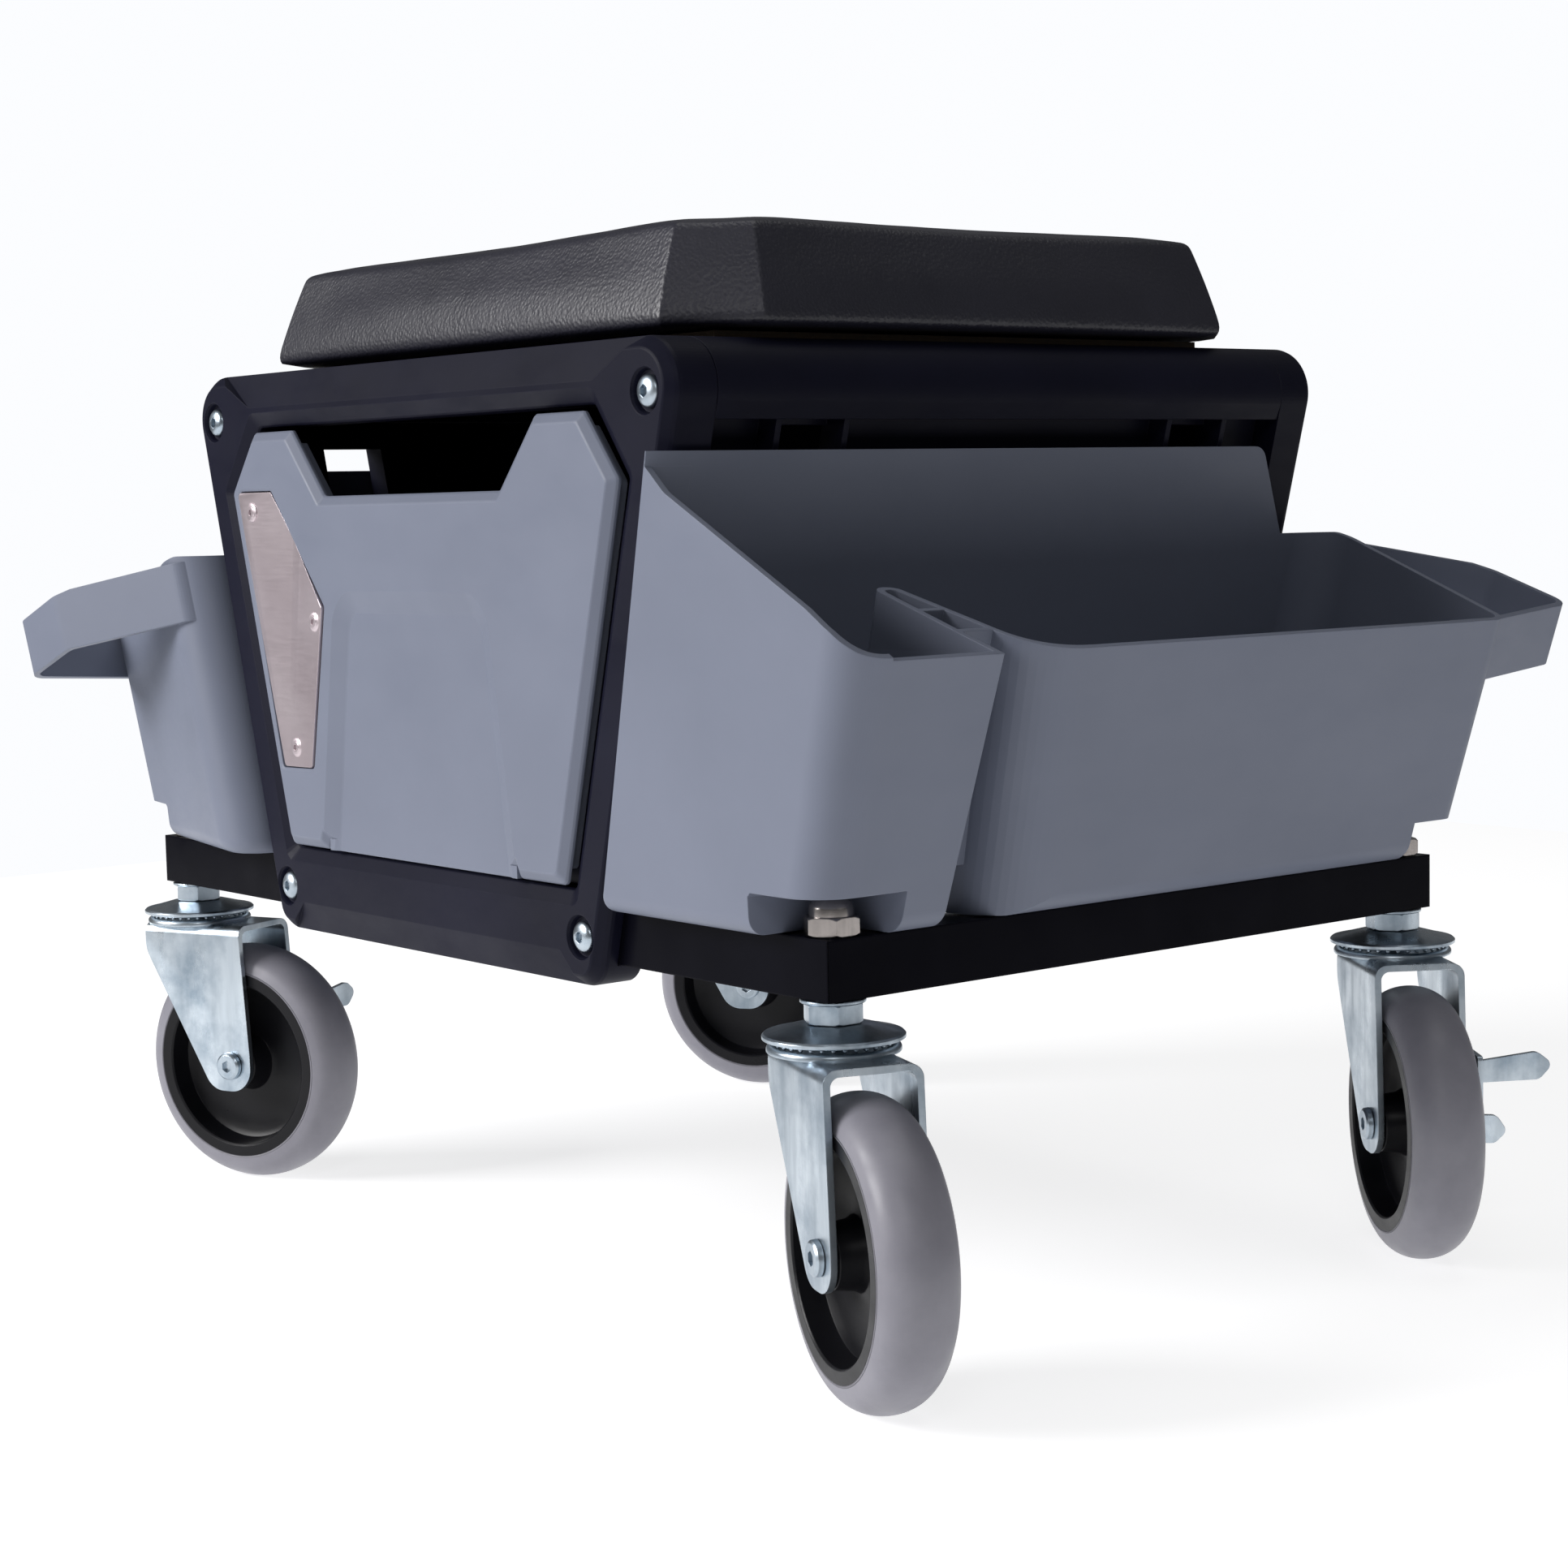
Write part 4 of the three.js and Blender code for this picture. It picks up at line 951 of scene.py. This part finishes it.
def cap_nut():
    low = CHASSIS_TOP + 0.4
    top, radius, neck, rise = low + 7.6, 9.2, 3.0, 5.4
    dome = [(0, low + 2), (radius, low + 2), (radius, top + neck)]
    for step in range(1, 9):
        angle = math.radians(90 * step / 8)
        dome.append((radius * math.cos(angle), top + neck + rise * math.sin(angle)))
    nut = join(hexagon(21.0, low, top, 1.2), turned(dome, 48))
    return cut(nut, rod_z(6.4, low - 1, 197))


def brake_lever():
    inner, outer = 22.0, 24.5
    side = rounded(
        [(33, 78), (46, 75), (54, 58), (60, 58), (60, 98), (40, 99), (33, 92)], [5, 4, 4, 1, 2, 4, 6], 6)
    plate = along_y([(inner, side), (outer, side)])
    upper = rounded([(inner, 86), (51, 86.5), (57.5, 93.5), (50, 99.5), (inner, 96)], [0, 5, 3.4, 5, 0], 8)
    lower = rounded([(inner, 58), (30, 57.5), (36, 63), (31, 70.5), (inner, 71)], [0, 4, 3.4, 4, 0], 8)
    tongues = [loft([[(x, y, z) for y, z in shape] for x in (57.5, 60)]) for shape in (upper, lower)]
    pin = turned([(0, 17.6), (3, 17.6), (3, 25.3), (2.4, 26.0), (0, 26.0)], 24)
    moved(pin, Matrix.Translation((BRAKE_PIVOT[0], 0, BRAKE_PIVOT[1])) @ FACE_BACK)
    return join(plate, *tongues, pin)


def build_casters():
    rng = random.Random(SEED)
    for name, x, y, angle, brake in CORNERS:
        corner = Matrix.Translation((x * STEM_X, y * STEM_Y, 0))
        swivel = corner @ Matrix.Rotation(math.radians(angle), 4, "Z")
        axle = Matrix.Translation((TRAIL, 0, WHEEL_R))
        spin = axle @ Matrix.Rotation(rng.uniform(0, 6.28), 4, "Y") @ axle.inverted()
        pieces = [
            (cap_nut, corner, "dome_nut", "nickel_nut", "frame", "cap_nut"),
            (stem_bolt, corner, "stem", "zinc_plate", "frame", "stem_bolt"),
            (swivel_cup, corner, "race_cup", "zinc_plate", "frame", "swivel_cup"),
            (lambda: fork(brake), swivel, "fork_body", "zinc_plate", f"swivel_{name}", "fork"),
            (axle_bolt, swivel, "axle", "zinc_plate", f"swivel_{name}", "axle_bolt"),
            (ball_ring, swivel, "race_balls", "zinc_plate", f"swivel_{name}", None),
            (hub, swivel @ spin, "wheel_core", "hub_plastic", f"wheel_{name}", "wheel_hub"),
            (tyre, swivel @ spin, "wheel_tread", "tyre_rubber", f"wheel_{name}", "tyre"),
        ]
        if brake:
            pieces.append(
                (brake_lever, swivel, "foot_brake", "zinc_plate", f"brake_{name}", "brake_lever"))
        for build, place, title, slot, ride, node in pieces:
            nodes = [f"{node}_{name}"] if node else []
            finish(moved(build(), place), f"{title}_{name}", slot, ride, *nodes)


# ---------- seat ----------

def seat():
    """The padded seat: sloped sides, cut corners and a lightly crowned, swollen top."""
    half_x, half_y, cut_corner = SEAT_HALF_X, SEAT_HALF_Y, SEAT_CUT_CORNER
    low, high, inset, spacing = SEAT_LOW, SEAT_HIGH, SEAT_INSET, 9
    plan = [
        (-half_x + cut_corner, -half_y), (half_x - cut_corner, -half_y), (half_x, -half_y + cut_corner),
        (half_x, half_y - cut_corner), (half_x - cut_corner, half_y), (-half_x + cut_corner, half_y),
        (-half_x, half_y - cut_corner), (-half_x, -half_y + cut_corner),
    ]

    outline = rounded(plan, 3, 5)
    sides = zip(outline, outline[1:] + outline[:1])
    splits = [max(1, round((Vector(a) - Vector(b)).length / spacing)) for a, b in sides]

    def level(z, shrink, radius):
        ring = rounded(grown(plan, -shrink), radius, 5)
        fine = []
        for start, end, count in zip(ring, ring[1:] + ring[:1], splits):
            fine += [tuple(Vector(start).lerp(Vector(end), i / count)) for i in range(count)]
        return z, fine

    rings = [
        level(low, 3.6, 3), level(low + 1.5, 1.2, 3), level(low + 4.5, 0.2, 3), level(low + 9, 1.2, 3),
    ]
    for step in range(1, 5):
        rise = low + 9 + (high - low - 13) * step / 4
        rings.append(level(rise, 1.2 + (inset - 3.2) * step / 4, 3))
    rings += [
        level(high - 2.0, inset - 0.9, 3), level(high - 0.5, inset + 1.0, 4), level(high, inset + 3.6, 4),
    ]
    rim = rings[-1][1]
    for scale in [0.985, 0.96] + [0.92 - 0.075 * i for i in range(13)]:
        rings.append((high, [(x * scale, y * scale) for x, y in rim]))
    cushion = along_z(rings)
    swell(cushion)
    shoulder = low + 20
    for vertex in cushion.data.vertices:
        co = vertex.co
        if co.z > shoulder:
            reach = max(abs(co.x) / half_x, abs(co.y) / half_y)
            rise = (co.z - shoulder) / (high - shoulder)
            co.z += SEAT_CROWN * max(0.0, 1 - reach ** 4) * rise
    return cushion


def swell(cushion):
    """Puffs the cushion out as light pressure puffs an even copy of it, with its base held flat."""
    cloth_body = copy_of(cushion)
    remesh = cloth_body.modifiers.new("even", "REMESH")
    remesh.mode = "VOXEL"
    remesh.voxel_size = SWELL_VOXEL
    mesh = evaluated_mesh(cloth_body)
    cloth_body.modifiers.clear()
    cloth_body.data = mesh
    mesh.transform(Matrix.Scale(MM, 4))
    before = [vertex.co.copy() for vertex in mesh.vertices]
    base = min(co.z for co in before)
    pinned = cloth_body.vertex_groups.new(name="held")
    for i, co in enumerate(before):
        if co.z < base + SWELL_HELD:
            pinned.add([i], 1.0, "REPLACE")
    cloth = cloth_body.modifiers.new("padding", "CLOTH")
    cloth.settings.quality = 4
    cloth.settings.mass = 0.3
    cloth.settings.tension_stiffness = 40
    cloth.settings.compression_stiffness = 40
    cloth.settings.shear_stiffness = 20
    cloth.settings.bending_stiffness = 6
    cloth.settings.use_pressure = True
    cloth.settings.uniform_pressure_force = 3.0
    cloth.settings.vertex_group_mass = "held"
    cloth.settings.effector_weights.gravity = 0
    cloth.collision_settings.use_collision = False
    scene = bpy.context.scene
    scene.frame_start = 1
    scene.frame_end = SWELL_FRAMES
    cloth.point_cache.frame_start = 1
    cloth.point_cache.frame_end = SWELL_FRAMES
    for step in range(1, SWELL_FRAMES + 1):
        scene.frame_set(step)
    puffed = evaluated_mesh(cloth_body)
    near = KDTree(len(before))
    shifts = []
    for i, (start, vertex) in enumerate(zip(before, puffed.vertices)):
        shift = vertex.co - start
        shifts.append(shift.normalized() * min(shift.length, SWELL_CAP))
        near.insert(start, i)
    near.balance()
    bpy.data.objects.remove(cloth_body)
    scene.frame_set(1)
    for vertex in cushion.data.vertices:
        around = near.find_range(vertex.co * MM, SWELL_REACH)
        if around:
            vertex.co += sum((shifts[i] for _, i, _ in around), Vector()) / (len(around) * MM)


def build_seat():
    cushion = seat()
    finish(cushion, "padded_seat", "seat_vinyl", "frame", "seat_cushion", sharp=60)
    smooth = cushion.modifiers.new("smooth", "SUBSURF")
    smooth.levels = 1
    smooth.render_levels = 1


# ---------- carried-over CAD pieces ----------

def paint_cad():
    slots = {entry["node"]: entry["material_slot"] for entry in frame["record"]["subparts"]}
    for node, obj in frame["nodes"].items():
        for slot in obj.material_slots:
            slot.material = FINISHES[slots[node]]
        if node.startswith("chassis_tube"):
            bevel = obj.modifiers.new("rolled_edges", "BEVEL")
            bevel.width = 2.4 * MM
            bevel.segments = 4
            bevel.limit_method = "ANGLE"
            bevel.angle_limit = math.radians(50)
            bevel.harden_normals = True


# ---------- studio ----------

def emitter(name, location, target, size, power, colour=(1, 1, 1)):
    lamp = bpy.data.lights.new(name, "AREA")
    lamp.shape = "RECTANGLE"
    lamp.size, lamp.size_y = size
    lamp.energy = power
    lamp.color = colour
    obj = bpy.data.objects.new(name, lamp)
    obj.location = location
    obj.rotation_euler = (Vector(target) - Vector(location)).to_track_quat("-Z", "Y").to_euler()
    bpy.context.scene.collection.objects.link(obj)


def studio():
    floor_size, floor_glow, white = 1.6, 0.76, (1.0, 1.0, 1.0, 1.0)
    bm = bmesh.new()
    bmesh.ops.create_grid(bm, x_segments=1, y_segments=1, size=floor_size)
    floor = make("floor", bm)
    paper = Paint("pale_floor")
    paper.join_to("Base Color", paper.ramp(
        paper.noise(0.6), [(0.3, (0.50, 0.50, 0.505)), (0.7, (0.54, 0.54, 0.545))]))
    paper.set(roughness=0.7, specular_ior_level=0.05, emission_color=white, emission_strength=floor_glow)
    floor.data.materials.append(paper.material)

    world = bpy.data.worlds.new("studio")
    bpy.context.scene.world = world
    world.use_nodes = True
    nodes, links = world.node_tree.nodes, world.node_tree.links
    glow = nodes["Background"]
    glow.inputs["Color"].default_value = (0.97, 0.98, 1.0, 1)
    seen = nodes.new("ShaderNodeLightPath")
    strength = nodes.new("ShaderNodeMapRange")
    strength.inputs["To Min"].default_value = 0.12
    strength.inputs["To Max"].default_value = 1.0
    links.new(seen.outputs["Is Camera Ray"], strength.inputs["Value"])
    links.new(strength.outputs["Result"], glow.inputs["Strength"])

    middle = (0, 0, 0.28)
    emitter("key", (-1.5, -3.0, 1.7), middle, (1.8, 1.4), 130, (1.0, 0.99, 0.99))
    emitter("side", (3.2, 0.3, 1.6), middle, (1.4, 1.4), 2, (0.97, 0.98, 1.0))
    emitter("top", (0.2, 0.3, 3.2), middle, (2.0, 2.0), 19)
    emitter("front", (1.9, -1.7, 1.75), middle, (0.8, 0.6), 7)


def camera():
    yaw, pitch, roll = 0.894004, -0.096182, -0.022379
    forward = Vector((-math.sin(yaw) * math.cos(pitch), math.cos(yaw) * math.cos(pitch), math.sin(pitch)))
    right = forward.cross(Vector((0, 0, 1))).normalized()
    up = right.cross(forward)
    across = right * math.cos(roll) + up * math.sin(roll)
    upward = -right * math.sin(roll) + up * math.cos(roll)
    data = bpy.data.cameras.new("view")
    data.lens = 66.645
    data.sensor_width = 36.0
    data.clip_end = 100.0
    obj = bpy.data.objects.new("view", data)
    obj.matrix_world = Matrix((
        (across.x, upward.x, -forward.x, 1.15784), (across.y, upward.y, -forward.y, -0.90916),
        (across.z, upward.z, -forward.z, 0.35741), (0, 0, 0, 1),
    ))
    bpy.context.scene.collection.objects.link(obj)
    bpy.context.scene.camera = obj


paint_cad()
build_body()
build_trays()
build_casters()
build_seat()
studio()
camera()
bpy.context.scene.view_settings.view_transform = "Standard"
